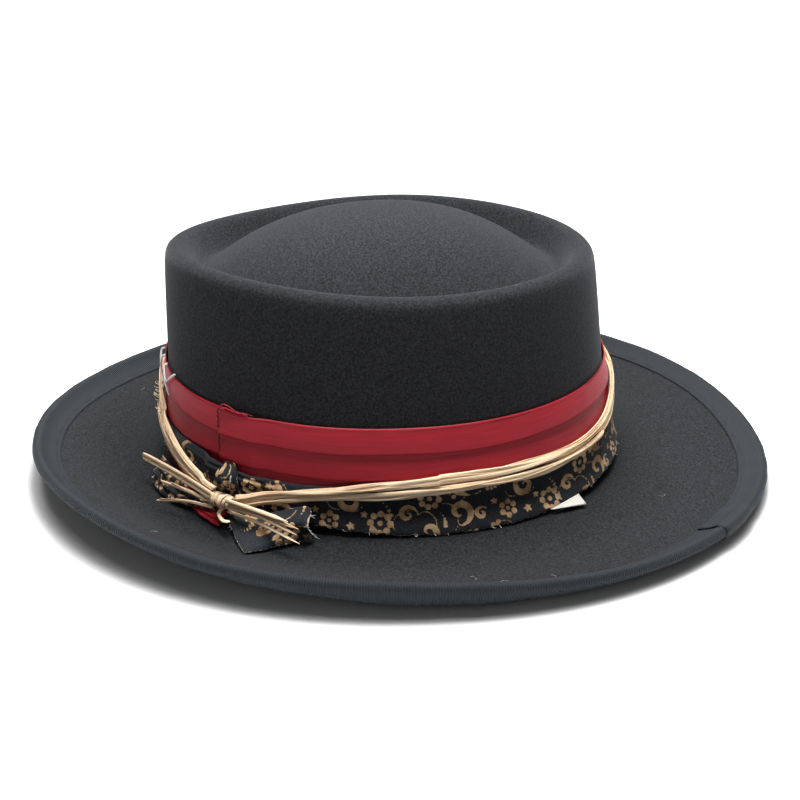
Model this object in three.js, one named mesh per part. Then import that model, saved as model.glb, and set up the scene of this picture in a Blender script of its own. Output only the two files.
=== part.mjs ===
// Gambler hat: black wool felt with a telescope crown and a brim turned up at its sides. It is
// trimmed with a pleated satin band, a knotted strip of printed cotton and a tie of raffia.
//
// Millimetres, +Z up. Z = 0 is the surface that the brim rests on and the origin is the middle of
// the hat's outline. The front of the hat faces -Y and the wearer's left is +X.
// A direction round the hat is an angle in degrees from its front towards the wearer's left.
// "Out" is a distance outwards from the face of the crown's wall.
// Tables hold shares of the named sizes, so a table keeps its shape when a size changes.

import * as THREE from 'three';

// Felt body
const FELT_WALL = 2.2;
const CROWN_LENGTH = 205;
const CROWN_WIDTH = 173;
const CROWN_HEIGHT = 101.4;
const LENGTH_TAPER = 14.6;
const WIDTH_TAPER = 14.2;
const CROWN_LEAN = 5.3;
const OVAL_POWER = 2.12;
const FOOT_ROUND = 3;
const RIM_ROUND = 5.5;
const RIM_WAVE = 3;
const CHANNEL_DEPTH = 12;
const VALLEY_ROUND = 3.5;
const DOME_HEIGHT = 115.5;
const DOME_SET_BACK = 3;
const DOME_POWER = 2.6;

// Height of the crown's foot above the surface that the brim rests on. Heights on the crown and on
// its trim are measured from the foot.
const CROWN_STAND = 2.9;

// How far the crown's middle lies in front of the origin
const CROWN_FORWARD = 4.8;

// Brim, its shift measured from the crown's middle
const BRIM_LENGTH = 331.1;
const BRIM_WIDTH = 287.3;
const BRIM_SHIFT_BACK = 6.2;
const EDGE_RUN = 14.6;
const EDGE_TURN = 82;
const FRONT_LIFT = 12;
const BRIM_SPREAD = 1;

// Ribbed tape folded over the brim's edge
const TAPE_WIDTH = 10;
const TAPE_THICKNESS = 0.9;
const TAPE_PUFF = 0.3;
const TAPE_JOIN_AT = 140.5;
const TAPE_OVERLAP = 16;

// Satin band
const BAND_TOP = 51.9;
const BAND_TILT = 2.6;
const BAND_FOOT = 6;
const PLEAT_DEPTH = 11.2;
const PLEAT_STEP = 0.55;
const BAND_THICKNESS = 1.1;
const BAND_SEAM_AT = 38.4;
const BAND_OVERLAP = 14;

// Printed cotton strip
const PRINT_THICKNESS = 1;
const PRINT_TOP = 25;
const PRINT_FOLD = 0.8;
const PRINT_FLARE = 2.4;
const KNOT_AT = 42.6;
const KNOT_BREADTH = 9;
const KNOT_DEPTH = 7;
const BACK_TAIL_REACH = 24.5;
const BACK_TAIL_RISE = 16.5;
const FRONT_TAIL_REACH = 13;
const FRONT_TAIL_RISE = 12;

// Folded end of the satin, lying on the brim under the knot
const RED_TAIL_REACH = 13.3;
const RED_TAIL_RISE = 6;

// Raffia
const STRAND_HEIGHT = 4.2;
const STRAND_DEPTH = 2.4;
const RAFFIA_KNOT_LENGTH = 9;
const RAFFIA_KNOT_DIAMETER = 6.6;
const RAFFIA_KNOT_HEIGHT = 13.2;
const RAFFIA_KNOT_OUT = 10.9;
const RAFFIA_TAIL_REACH = 21.2;
const RAFFIA_TAIL_DIAMETER = 3.6;
const RAFFIA_TAIL_ARCH = 2;

// Gap between pieces that touch on the real hat
const GAP = 0.3;

// Sections round the hat, and sides of a round raffia tail
const SPOKES = 60;
const TAIL_SIDES = 6;

// Turns of each wave round the rim's crest, as shares of RIM_WAVE
const RIM_WAVES = [
  { turns: 1, cosine: 0.35, sine: 0.97 },
  { turns: 2, cosine: 0.12, sine: 0.47 },
  { turns: 3, cosine: 0.13, sine: 0.4 },
];

// The brim round its edge: turn is a share of EDGE_TURN, lift a share of FRONT_LIFT and spread a
// share of BRIM_SPREAD, by which the edge stands out from its oval
const BRIM_SECTIONS = [
  { at: 0, turn: 0.64, lift: 0.71, spread: 0.94 },
  { at: 30, turn: 0.72, lift: 1, spread: -0.69 },
  { at: 60, turn: 0.76, lift: 0.62, spread: -0.48 },
  { at: 90, turn: 1, lift: 0.24, spread: -0.33 },
  { at: 120, turn: 0.66, lift: 0.15, spread: 0.45 },
  { at: 150, turn: 0.4, lift: 0.2, spread: 0.91 },
  { at: 180, turn: 0.28, lift: 0.2, spread: -0.51 },
  { at: 210, turn: 0.41, lift: 0.2, spread: -0.24 },
  { at: 240, turn: 0.73, lift: 0.1, spread: -0.03 },
  { at: 270, turn: 0.94, lift: 0.06, spread: 0.02 },
  { at: 300, turn: 0.83, lift: 0.11, spread: 0.02 },
  { at: 330, turn: 0.63, lift: 0.27, spread: 0.08 },
];

// The printed strip round the crown: top and foot are shares of PRINT_TOP, fold of PRINT_FOLD
// and flare of PRINT_FLARE
const PRINT_SECTIONS = [
  { at: 0, top: 1.08, foot: 0.5, fold: 0.3, flare: 0.1 },
  { at: 28, top: 1.13, foot: 0.52, fold: 1.0, flare: 0.1 },
  { at: 54, top: 0.98, foot: 0.36, fold: 1.0, flare: 0.4 },
  { at: 72, top: 1.0, foot: 0.22, fold: 0.4, flare: 0.8 },
  { at: 97, top: 1.02, foot: 0.12, fold: 0.2, flare: 1.0 },
  { at: 124, top: 1.0, foot: 0.15, fold: 0.1, flare: 1.0 },
  { at: 147, top: 0.99, foot: 0.26, fold: 0.2, flare: 0.9 },
  { at: 180, top: 1.0, foot: 0.3, fold: 0.3, flare: 0.6 },
  { at: 240, top: 1.02, foot: 0.24, fold: 0.3, flare: 0.5 },
  { at: 300, top: 1.05, foot: 0.28, fold: 0.3, flare: 0.4 },
];

// Sections of the printed knot from top to foot: height is a share of PRINT_TOP, breadth and
// depth are shares of the knot's own
const KNOT_SECTIONS = [
  { height: 1.12, breadth: 0.4, depth: 0.4 },
  { height: 1.02, breadth: 0.8, depth: 0.8 },
  { height: 0.86, breadth: 1.0, depth: 1.0 },
  { height: 0.74, breadth: 0.92, depth: 0.78 },
  { height: 0.66, breadth: 0.66, depth: 0.43 },
  { height: 0.45, breadth: 0.6, depth: 0.4 },
  { height: 0.36, breadth: 0.5, depth: 0.35 },
];

// Tails of cloth from the knot to their ends, each row a section from its low edge, which lies on
// the brim, to its high edge by the wall: out and height are shares of the tail's reach and rise,
// and bulge a share of its reach
const BACK_TAIL = [
  { lowAt: 43.1, lowOut: 0.37, lowHeight: 0.35, highAt: 43.1, highOut: 0.3, highHeight: 0.52, bulge: 0 },
  { lowAt: 47.8, lowOut: 0.63, lowHeight: 0.26, highAt: 47.5, highOut: 0.39, highHeight: 0.54, bulge: 0 },
  { lowAt: 53.4, lowOut: 1, lowHeight: 0.21, highAt: 53, highOut: 0.35, highHeight: 0.64, bulge: -0.03 },
  { lowAt: 58, lowOut: 0.66, lowHeight: 0.21, highAt: 58.5, highOut: 0.33, highHeight: 0.85, bulge: 0.07 },
  { lowAt: 63, lowOut: 0.4, lowHeight: 0.23, highAt: 63, highOut: 0.31, highHeight: 1, bulge: 0.15 },
  { lowAt: 65.4, lowOut: 0.33, lowHeight: 0.27, highAt: 64.6, highOut: 0.31, highHeight: 0.95, bulge: 0.08 },
];
const FRONT_TAIL = [
  { lowAt: 39, lowOut: 0.65, lowHeight: 0.56, highAt: 39, highOut: 0.47, highHeight: 0.72, bulge: 0 },
  { lowAt: 33, lowOut: 0.75, lowHeight: 0.46, highAt: 33, highOut: 0.65, highHeight: 0.8, bulge: 0.02 },
  { lowAt: 26.5, lowOut: 0.92, lowHeight: 0.3, highAt: 25.5, highOut: 0.56, highHeight: 0.94, bulge: 0.06 },
  { lowAt: 20, lowOut: 1, lowHeight: 0.3, highAt: 18, highOut: 0.46, highHeight: 1, bulge: 0.08 },
  { lowAt: 15.5, lowOut: 0.96, lowHeight: 0.34, highAt: 12.5, highOut: 0.42, highHeight: 0.92, bulge: 0.04 },
];
const RED_TAIL = [
  { lowAt: 24, lowOut: 0.4, lowHeight: 0.58, highAt: 24, highOut: 0.28, highHeight: 0.92, bulge: 0 },
  { lowAt: 30, lowOut: 0.6, lowHeight: 0.58, highAt: 30, highOut: 0.3, highHeight: 1, bulge: 0.03 },
  { lowAt: 36, lowOut: 0.83, lowHeight: 0.58, highAt: 36, highOut: 0.35, highHeight: 0.92, bulge: 0.02 },
  { lowAt: 42.5, lowOut: 1, lowHeight: 0.62, highAt: 41.5, highOut: 0.45, highHeight: 0.8, bulge: 0 },
];

// Routes of the two raffia strands, from one side of their knot round the crown to the other:
// height is a share of BAND_TOP, size a share of the strand's own, and stand a share of
// STRAND_DEPTH by which it stands off the cloth
const UPPER_ROUTE = [
  { at: 45.4, height: 0.281, size: 0.6, stand: 0.6 },
  { at: 53, height: 0.35, size: 0.6, stand: 0.3 },
  { at: 66, height: 0.428, size: 0.55, stand: 0 },
  { at: 87, height: 0.499, size: 0.7, stand: 0 },
  { at: 112, height: 0.53, size: 0.9, stand: 0 },
  { at: 132, height: 0.519, size: 0.85, stand: 0 },
  { at: 146, height: 0.535, size: 0.85, stand: 0 },
  { at: 158, height: 0.597, size: 0.9, stand: 0 },
  { at: 170, height: 0.739, size: 1, stand: 0 },
  { at: 190, height: 0.813, size: 1, stand: 0 },
  { at: 225, height: 0.778, size: 1, stand: 0 },
  { at: 280, height: 0.73, size: 1, stand: 0 },
  { at: 345, height: 0.749, size: 1, stand: 0 },
  { at: 362, height: 0.734, size: 1, stand: 0 },
  { at: 374.5, height: 0.53, size: 1, stand: 0 },
  { at: 388.6, height: 0.354, size: 0.8, stand: 0.2 },
  { at: 399.8, height: 0.281, size: 0.6, stand: 0.5 },
];
const LOWER_ROUTE = [
  { at: 45.4, height: 0.226, size: 0.55, stand: 0.6 },
  { at: 53, height: 0.295, size: 0.55, stand: 0.3 },
  { at: 66, height: 0.378, size: 0.5, stand: 0 },
  { at: 87, height: 0.416, size: 0.8, stand: 0 },
  { at: 108, height: 0.441, size: 0.8, stand: 0 },
  { at: 132, height: 0.445, size: 0.7, stand: 0 },
  { at: 146, height: 0.477, size: 0.45, stand: 0 },
  { at: 158, height: 0.539, size: 0.4, stand: 0 },
  { at: 170, height: 0.665, size: 0.6, stand: 0 },
  { at: 190, height: 0.705, size: 0.85, stand: 0 },
  { at: 225, height: 0.661, size: 0.85, stand: 0 },
  { at: 280, height: 0.623, size: 0.85, stand: 0 },
  { at: 345, height: 0.632, size: 0.85, stand: 0 },
  { at: 362, height: 0.603, size: 0.85, stand: 0 },
  { at: 374.5, height: 0.428, size: 0.85, stand: 0 },
  { at: 388.6, height: 0.277, size: 0.75, stand: 0.2 },
  { at: 399.8, height: 0.222, size: 0.55, stand: 0.5 },
];

// Sections of the raffia knot along its length, as shares of its half-length and radius
const RAFFIA_KNOT_SECTIONS = [
  { along: -1, radius: 0.72 },
  { along: -0.7, radius: 0.96 },
  { along: -0.2, radius: 0.88 },
  { along: 0.3, radius: 1 },
  { along: 0.75, radius: 0.94 },
  { along: 1, radius: 0.72 },
];

// Cut ends of the raffia: side is the end of the knot that they leave, fromOut and toOut are
// shares of RAFFIA_TAIL_REACH, fromHeight and toHeight of RAFFIA_KNOT_HEIGHT, at is the angle of
// the tip, size a share of RAFFIA_TAIL_DIAMETER and arch a share of RAFFIA_TAIL_ARCH
const RAFFIA_TAILS = [
  { side: -1, fromOut: 0.6, fromHeight: 1.13, at: 12.9, toOut: 0.67, toHeight: 0.92, size: 1, arch: 0.3 },
  { side: -1, fromOut: 0.57, fromHeight: 0.9, at: 23.4, toOut: 0.6, toHeight: 0.68, size: 0.6, arch: 0.3 },
  { side: -1, fromOut: 0.55, fromHeight: 0.71, at: 27, toOut: 0.88, toHeight: 0.4, size: 0.6, arch: 0.3 },
  { side: 1, fromOut: 0.6, fromHeight: 1.12, at: 64, toOut: 0.92, toHeight: 1.08, size: 0.8, arch: 0.5 },
  { side: 1, fromOut: 0.6, fromHeight: 0.89, at: 63, toOut: 0.94, toHeight: 0.83, size: 0.65, arch: 0.5 },
  { side: 1, fromOut: 0.57, fromHeight: 0.69, at: 63.8, toOut: 1, toHeight: 0.58, size: 0.55, arch: 0.5 },
];

// Helpers

const degrees = THREE.MathUtils.degToRad;

function smooth(share) {
  return THREE.MathUtils.smoothstep(share, 0, 1);
}

// A column at an angle, on a smooth curve through the two rows before it and the two after
function curveThrough(rows, column, at) {
  const [first, before, after, last] = rows;
  const span = after.at - before.at;
  const share = (at - before.at) / span;
  const leaving = (after[column] - first[column]) / (after.at - first.at) * span;
  const arriving = (last[column] - before[column]) / (last.at - before.at) * span;
  const rise = (after[column] - before[column]) * share * share * (3 - 2 * share);
  return before[column] + rise + leaving * share * (1 - share) ** 2 - arriving * share * share * (1 - share);
}

// A column of a table whose rows go all the way round
function columnAt(table, column, angle) {
  const turned = THREE.MathUtils.euclideanModulo(angle, 360);
  const found = table.findIndex((row) => row.at > turned);
  const after = found < 0 ? table.length : found;
  const rows = [after - 2, after - 1, after, after + 1].map((index) => {
    const row = table[THREE.MathUtils.euclideanModulo(index, table.length)];
    return { ...row, at: row.at + 360 * Math.floor(index / table.length) };
  });
  return curveThrough(rows, column, turned);
}

// A column of a table that has a first and a last row
function routeAt(table, column, angle) {
  const found = table.findIndex((row) => row.at > angle);
  const after = found < 0 ? table.length - 1 : Math.max(found, 1);
  const rows = [after - 2, after - 1, after, after + 1].map((index) => (
    table[THREE.MathUtils.clamp(index, 0, table.length - 1)]));
  return curveThrough(rows, column, angle);
}

// Distance from the crown's middle to an oval, at an angle
function oval(angle, halfLength, halfWidth) {
  const along = Math.abs(Math.cos(degrees(angle))) / halfLength;
  const across = Math.abs(Math.sin(degrees(angle))) / halfWidth;
  return (along ** OVAL_POWER + across ** OVAL_POWER) ** (-1 / OVAL_POWER);
}

// Distance from the crown's middle to its outer face
function wallRadius(angle, height) {
  const rise = (height - FELT_WALL) / (CROWN_HEIGHT - FELT_WALL);
  const halfLength = (CROWN_LENGTH - LENGTH_TAPER * rise) / 2;
  const halfWidth = (CROWN_WIDTH - WIDTH_TAPER * rise) / 2;
  return oval(angle, halfLength, halfWidth);
}

function edgeRadius(angle) {
  const shift = -BRIM_SHIFT_BACK * Math.cos(degrees(angle));
  const spread = BRIM_SPREAD * columnAt(BRIM_SECTIONS, 'spread', angle);
  return oval(angle, BRIM_LENGTH / 2, BRIM_WIDTH / 2) + shift + spread;
}

// A point in space: the whole hat leans a little towards its front as it rises
function place(angle, radius, height) {
  const across = radius * Math.sin(degrees(angle));
  const along = -radius * Math.cos(degrees(angle)) - CROWN_FORWARD;
  return new THREE.Vector3(across, along - CROWN_LEAN * height / CROWN_HEIGHT, height + CROWN_STAND);
}

function onWall(angle, out, height) {
  return place(angle, wallRadius(angle, height) + out, height);
}

// A closed solid from rows of points that all have the same number. Each row is a loop. The two
// ends are closed by fans to a point, or by flat lids whose triangles the outline gives.
function loftSolid(rows, ends) {
  const count = rows[0].length;
  const points = rows.flat();
  const faces = [];
  for (let row = 0; row + 1 < rows.length; row += 1) {
    for (let column = 0; column < count; column += 1) {
      const next = (column + 1) % count;
      const a = row * count + column;
      const b = row * count + next;
      faces.push([a, b, b + count], [a, b + count, a + count]);
    }
  }
  const last = (rows.length - 1) * count;
  if (ends.points) {
    points.push(ends.points[0], ends.points[1]);
    for (let column = 0; column < count; column += 1) {
      const next = (column + 1) % count;
      faces.push([next, column, points.length - 2]);
      faces.push([last + column, last + next, points.length - 1]);
    }
  } else {
    const lid = THREE.ShapeUtils.triangulateShape(ends.outline, []);
    const turn = THREE.ShapeUtils.isClockWise(ends.outline) ? 1 : -1;
    for (const [a, b, c] of lid) {
      faces.push(turn > 0 ? [a, b, c] : [a, c, b]);
      faces.push(turn > 0 ? [last + a, last + c, last + b] : [last + a, last + b, last + c]);
    }
  }
  return meshFrom(points, faces);
}

// Geometry from points and faces, turned so that its faces point outwards
function meshFrom(points, faces) {
  let volume = 0;
  for (const [a, b, c] of faces) {
    volume += points[a].dot(new THREE.Vector3().crossVectors(points[b], points[c]));
  }
  const index = faces.flatMap(([a, b, c]) => (volume > 0 ? [a, b, c] : [a, c, b]));
  const geometry = new THREE.BufferGeometry();
  geometry.setAttribute('position', new THREE.Float32BufferAttribute(points.flatMap((p) => p.toArray()), 3));
  geometry.setIndex(index);
  geometry.computeVertexNormals();
  return geometry;
}

// A sheet of cloth: a grid of points thickened to both sides
function sheetSolid(grid, thickness) {
  const rows = grid.length;
  const columns = grid[0].length;
  const clamped = (row, column) => {
    const r = THREE.MathUtils.clamp(row, 0, rows - 1);
    const c = THREE.MathUtils.clamp(column, 0, columns - 1);
    return grid[r][c];
  };
  const faceSide = [];
  const backSide = [];
  for (let row = 0; row < rows; row += 1) {
    for (let column = 0; column < columns; column += 1) {
      const along = clamped(row + 1, column).clone().sub(clamped(row - 1, column));
      const across = clamped(row, column + 1).clone().sub(clamped(row, column - 1));
      const normal = along.cross(across).normalize().multiplyScalar(thickness / 2);
      faceSide.push(grid[row][column].clone().add(normal));
      backSide.push(grid[row][column].clone().sub(normal));
    }
  }
  const points = [...faceSide, ...backSide];
  const faces = [];
  const half = faceSide.length;
  for (let row = 0; row + 1 < rows; row += 1) {
    for (let column = 0; column + 1 < columns; column += 1) {
      const a = row * columns + column;
      const c = a + columns;
      faces.push([a, c, c + 1], [a, c + 1, a + 1]);
      faces.push([half + a, half + c + 1, half + c], [half + a, half + a + 1, half + c + 1]);
    }
  }
  const rim = [];
  for (let column = 0; column + 1 < columns; column += 1) rim.push(column);
  for (let row = 0; row + 1 < rows; row += 1) rim.push(row * columns + columns - 1);
  for (let column = columns - 1; column > 0; column -= 1) rim.push((rows - 1) * columns + column);
  for (let row = rows - 1; row > 0; row -= 1) rim.push(row * columns);
  rim.forEach((a, step) => {
    const b = rim[(step + 1) % rim.length];
    faces.push([a, b, half + b], [a, half + b, half + a]);
  });
  return meshFrom(points, faces);
}

// A round strand along a smooth curve
function strandGeometry(curve, diameter, steps) {
  const corners = Array.from({ length: TAIL_SIDES }, (_, side) => {
    const turn = degrees(360 * side / TAIL_SIDES);
    return new THREE.Vector2(Math.cos(turn), Math.sin(turn)).multiplyScalar(diameter / 2);
  });
  return new THREE.ExtrudeGeometry(new THREE.Shape(corners), { steps, extrudePath: curve });
}

const hat = new THREE.Group();

function addPiece(name, geometry, look) {
  const mesh = new THREE.Mesh(geometry, new THREE.MeshStandardMaterial(look));
  mesh.name = name;
  hat.add(mesh);
}

const FELT_LOOK = { color: 0x232427, roughness: 0.95, metalness: 0 };
const TAPE_LOOK = { color: 0x20262b, roughness: 0.75, metalness: 0 };
const SATIN_LOOK = { color: 0x9c1f30, roughness: 0.45, metalness: 0 };
const PRINT_LOOK = { color: 0x24262a, roughness: 0.85, metalness: 0 };
const RAFFIA_LOOK = { color: 0xdcc49a, roughness: 0.7, metalness: 0 };

// Felt body: crown and brim are one skin, drawn as spokes round the hat

function crestHeight(angle) {
  let wave = 0;
  for (const { turns, cosine, sine } of RIM_WAVES) {
    wave += cosine * Math.cos(degrees(turns * angle)) + sine * Math.sin(degrees(turns * angle));
  }
  return CROWN_HEIGHT + RIM_WAVE * wave;
}

// A point of the upper face and the slope of the face there, in degrees above the level
function facePoint(radius, height, slope) {
  return { radius, height, slope };
}

// The same point on the face underneath
function underneath(point, wall) {
  const radius = point.radius + wall * Math.sin(degrees(point.slope));
  const height = point.height - wall * Math.cos(degrees(point.slope));
  return facePoint(radius, height, point.slope);
}

const INNER_SLOPE = 62;
const DOME_FOOT_SLOPE = -22;
const DOME_RINGS = [0.26, 0.5, 0.72, 0.89];
const RIM_SLOPES = [INNER_SLOPE, 22, -12, -52, -90];
const FOOT_SLOPES = [-90, -45, 0];
const REST_FROM = 0.35;
const REST_TO = 0.55;
const BRIM_RINGS = [REST_FROM, REST_TO, 0.8, 1];
const EDGE_RINGS = [0.33, 0.67, 1];

// The crown from the middle of its dome to its foot
function crownSpoke(angle) {
  const crest = crestHeight(angle);
  const wallTop = wallRadius(angle, crest - RIM_ROUND);
  const rimRadius = wallTop - RIM_ROUND;
  const rimHeight = crest - RIM_ROUND;
  const innerSine = Math.sin(degrees(INNER_SLOPE));
  const innerCosine = Math.cos(degrees(INNER_SLOPE));
  const drop = CHANNEL_DEPTH - (RIM_ROUND + VALLEY_ROUND) * (1 - innerCosine);
  const slopeRun = drop / innerSine * innerCosine;
  const valleyRadius = rimRadius - RIM_ROUND * innerSine - slopeRun - VALLEY_ROUND * innerSine;
  const valleyHeight = crest - CHANNEL_DEPTH + VALLEY_ROUND;
  const valley = [DOME_FOOT_SLOPE, INNER_SLOPE * 0.4, INNER_SLOPE].map((slope) => facePoint(
    valleyRadius + VALLEY_ROUND * Math.sin(degrees(slope)),
    valleyHeight - VALLEY_ROUND * Math.cos(degrees(slope)),
    slope,
  ));
  const domeFoot = valley[0];
  const domeRise = DOME_HEIGHT - domeFoot.height;
  const dome = DOME_RINGS.map((share) => facePoint(
    domeFoot.radius * share,
    domeFoot.height + domeRise * (1 - share ** DOME_POWER),
    -THREE.MathUtils.radToDeg(Math.atan(DOME_POWER * share ** (DOME_POWER - 1) * domeRise / domeFoot.radius)),
  ));
  const rim = RIM_SLOPES.map((slope) => facePoint(
    rimRadius - RIM_ROUND * Math.sin(degrees(slope)),
    rimHeight + RIM_ROUND * Math.cos(degrees(slope)),
    slope,
  ));
  const footHeight = FELT_WALL + FOOT_ROUND;
  const middle = (rimHeight + footHeight) / 2;
  const wall = [facePoint(wallRadius(angle, middle), middle, -90)];
  const foot = FOOT_SLOPES.map((slope) => facePoint(
    wallRadius(angle, footHeight) + FOOT_ROUND + FOOT_ROUND * Math.sin(degrees(slope)),
    footHeight - FOOT_ROUND * Math.cos(degrees(slope)),
    slope,
  ));
  return [...dome, ...valley, ...rim, ...wall, ...foot];
}

// The turned-up edge: a point at a distance back from the brim's edge, along its upper face
function edgePoint(angle, back) {
  const turn = degrees(EDGE_TURN * columnAt(BRIM_SECTIONS, 'turn', angle));
  const bend = EDGE_RUN / turn;
  const start = edgeRadius(angle) - bend * Math.sin(turn);
  const lift = FRONT_LIFT * Math.max(0, columnAt(BRIM_SECTIONS, 'lift', angle));
  const level = FELT_WALL - CROWN_STAND + lift;
  const run = EDGE_RUN - back;
  if (run < 0) return facePoint(start + run, level, 0);
  const slope = turn * Math.min(run / EDGE_RUN, 1);
  const beyond = Math.max(0, -back);
  return facePoint(
    start + bend * Math.sin(slope) + beyond * Math.cos(turn),
    level + bend * (1 - Math.cos(slope)) + beyond * Math.sin(turn),
    THREE.MathUtils.radToDeg(slope),
  );
}

// The brim from the crown's foot to its edge. It falls a little to a flat ring, which is what the
// hat rests on, and rises from there to the turned-up edge.
function brimSpoke(angle) {
  const inner = wallRadius(angle, FELT_WALL + FOOT_ROUND) + FOOT_ROUND;
  const bendStart = edgePoint(angle, EDGE_RUN);
  const width = bendStart.radius - inner;
  const lowest = FELT_WALL - CROWN_STAND;
  const flat = BRIM_RINGS.map((share) => {
    const rise = Math.max(0, share - REST_TO) / (1 - REST_TO);
    const steepness = 6 * rise * (1 - rise) * (bendStart.height - lowest);
    const slope = Math.atan2(steepness, width * (1 - REST_TO));
    const height = lowest + (bendStart.height - lowest) * smooth(rise);
    return facePoint(inner + width * share, height, THREE.MathUtils.radToDeg(slope));
  });
  const edge = EDGE_RINGS.map((share) => edgePoint(angle, EDGE_RUN * (1 - share)));
  return [...flat, ...edge];
}

const spokeAngles = Array.from({ length: SPOKES }, (_, spoke) => 360 * spoke / SPOKES);

// The dome sits a little further back than the rim round it
function placeFelt(angle, point, ring) {
  const spot = place(angle, point.radius, point.height);
  const domeShare = ring < DOME_RINGS.length ? 1 - DOME_RINGS[ring] : 0;
  spot.y += DOME_SET_BACK * smooth(domeShare);
  return spot;
}

function feltBody() {
  const spokes = spokeAngles.map((angle) => [...crownSpoke(angle), ...brimSpoke(angle)]);
  const rings = spokes[0].length;
  const rows = [];
  for (let ring = 0; ring < rings; ring += 1) {
    rows.push(spokes.map((spoke, index) => placeFelt(spokeAngles[index], spoke[ring], ring)));
  }
  for (let ring = rings - 1; ring >= 0; ring -= 1) {
    rows.push(spokes.map((spoke, index) => (
      placeFelt(spokeAngles[index], underneath(spoke[ring], FELT_WALL), ring))));
  }
  const top = place(0, 0, DOME_HEIGHT);
  top.y += DOME_SET_BACK;
  const bottom = top.clone().setZ(top.z - FELT_WALL);
  return loftSolid(rows, { points: [top, bottom] });
}

addPiece('felt_body', feltBody(), FELT_LOOK);

// Angles of a strip that goes once round the hat and laps over its own start
function lappedAngles(start, overlap, ramp) {
  const angles = [start, start + overlap, start + overlap + ramp];
  for (const angle of spokeAngles) {
    for (const turned of [angle, angle + 360]) {
      if (turned > start + 1 && turned < start + 360 + overlap - 1) angles.push(turned);
    }
  }
  angles.push(start + 360 + overlap);
  angles.sort((a, b) => a - b);
  return angles.filter((angle, index) => index === 0 || angle - angles[index - 1] > 0.75);
}

// How far the lapping end stands over the end beneath it: 1 on the lap, falling to 0 past it
function lapShare(angle, start, overlap, ramp) {
  return 1 - smooth((angle - start - overlap - 0.8) / (ramp - 0.8));
}

// Brim binding: tape folded over the edge, on both faces

const TAPE_MIDDLE = FELT_WALL / 2;
const TAPE_RAMP = 4;

// One side of the tape's section: back is the distance from the edge and over that above the felt
function tapePath(clear, puff) {
  const reach = TAPE_MIDDLE + clear;
  const corner = reach * Math.SQRT1_2;
  return [
    { back: TAPE_WIDTH, over: clear },
    { back: TAPE_WIDTH / 2, over: clear + puff },
    { back: 0, over: clear + puff },
    { back: -corner, over: corner - TAPE_MIDDLE },
    { back: -corner, over: -corner - TAPE_MIDDLE },
    { back: 0, over: -FELT_WALL - clear - puff },
    { back: TAPE_WIDTH / 2, over: -FELT_WALL - clear - puff },
    { back: TAPE_WIDTH, over: -FELT_WALL - clear },
  ];
}

function tapeSection(clear) {
  return [...tapePath(clear + TAPE_THICKNESS, TAPE_PUFF), ...tapePath(clear, 0).reverse()];
}

function brimBinding() {
  const overlap = THREE.MathUtils.radToDeg(TAPE_OVERLAP / edgeRadius(TAPE_JOIN_AT));
  const rows = lappedAngles(TAPE_JOIN_AT, overlap, TAPE_RAMP).map((angle) => {
    const share = lapShare(angle, TAPE_JOIN_AT, overlap, TAPE_RAMP);
    const clear = GAP + (TAPE_THICKNESS + TAPE_PUFF + GAP) * share;
    return tapeSection(clear).map(({ back, over }) => {
      const face = edgePoint(angle, back);
      const spot = underneath(face, -over);
      return place(angle, spot.radius, spot.height);
    });
  });
  const outline = tapeSection(GAP).map(({ back, over }) => new THREE.Vector2(back, over));
  return loftSolid(rows, { outline });
}

addPiece('brim_binding', brimBinding(), TAPE_LOOK);

// Satin band: three pleats that lap downwards, a little higher on the wearer's right

function bandLift(angle) {
  return -BAND_TILT * Math.sin(degrees(angle));
}

const PLEAT_LIP = 0.7;
const BAND_MOST = BAND_THICKNESS + PLEAT_STEP;

// The band's section, from its top edge down its face and back up against the crown
function bandSection(angle, clear) {
  const top = BAND_TOP + bandLift(angle);
  const face = [{ out: clear + BAND_THICKNESS, height: top }];
  for (let pleat = 1; pleat <= 3; pleat += 1) {
    const fold = top - PLEAT_DEPTH * pleat;
    face.push({ out: clear + BAND_MOST, height: fold + PLEAT_LIP });
    face.push({ out: clear + BAND_THICKNESS, height: fold });
  }
  face.push({ out: clear + BAND_THICKNESS, height: BAND_FOOT });
  return [...face, { out: clear, height: BAND_FOOT }, { out: clear, height: top }];
}

const BAND_RAMP = 6;

function redHatband() {
  const overlap = THREE.MathUtils.radToDeg(BAND_OVERLAP / wallRadius(BAND_SEAM_AT, BAND_TOP));
  const rows = lappedAngles(BAND_SEAM_AT, overlap, BAND_RAMP).map((angle) => {
    const share = lapShare(angle, BAND_SEAM_AT, overlap, BAND_RAMP);
    const clear = GAP + (BAND_MOST + GAP) * share;
    return bandSection(angle, clear).map(({ out, height }) => onWall(angle, out, height));
  });
  const outline = bandSection(BAND_SEAM_AT, GAP).map(({ out, height }) => new THREE.Vector2(out, height));
  return loftSolid(rows, { outline });
}

addPiece('red_hatband', redHatband(), SATIN_LOOK);

// Distance of the satin band's face from the wall, which is more where its ends lap
const BAND_STEP_RUN = 3.4;

function bandFace(angle) {
  const overlap = THREE.MathUtils.radToDeg(BAND_OVERLAP / wallRadius(BAND_SEAM_AT, BAND_TOP));
  const before = BAND_STEP_RUN + 2.6;
  const turned = angle - 360 * Math.floor((angle - BAND_SEAM_AT + before) / 360);
  const start = smooth((turned - BAND_SEAM_AT + before) / BAND_STEP_RUN);
  const share = lapShare(turned, BAND_SEAM_AT, overlap, BAND_RAMP) * start;
  return GAP + BAND_MOST + (BAND_MOST + GAP) * share;
}

// Printed strip: it wraps the foot of the crown, over the satin, and both its ends go to the knot

const KNOT_HALF_ANGLE = THREE.MathUtils.radToDeg(KNOT_BREADTH / 2 / wallRadius(KNOT_AT, PRINT_TOP));
const PRINT_FACE_POINTS = 5;

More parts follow.
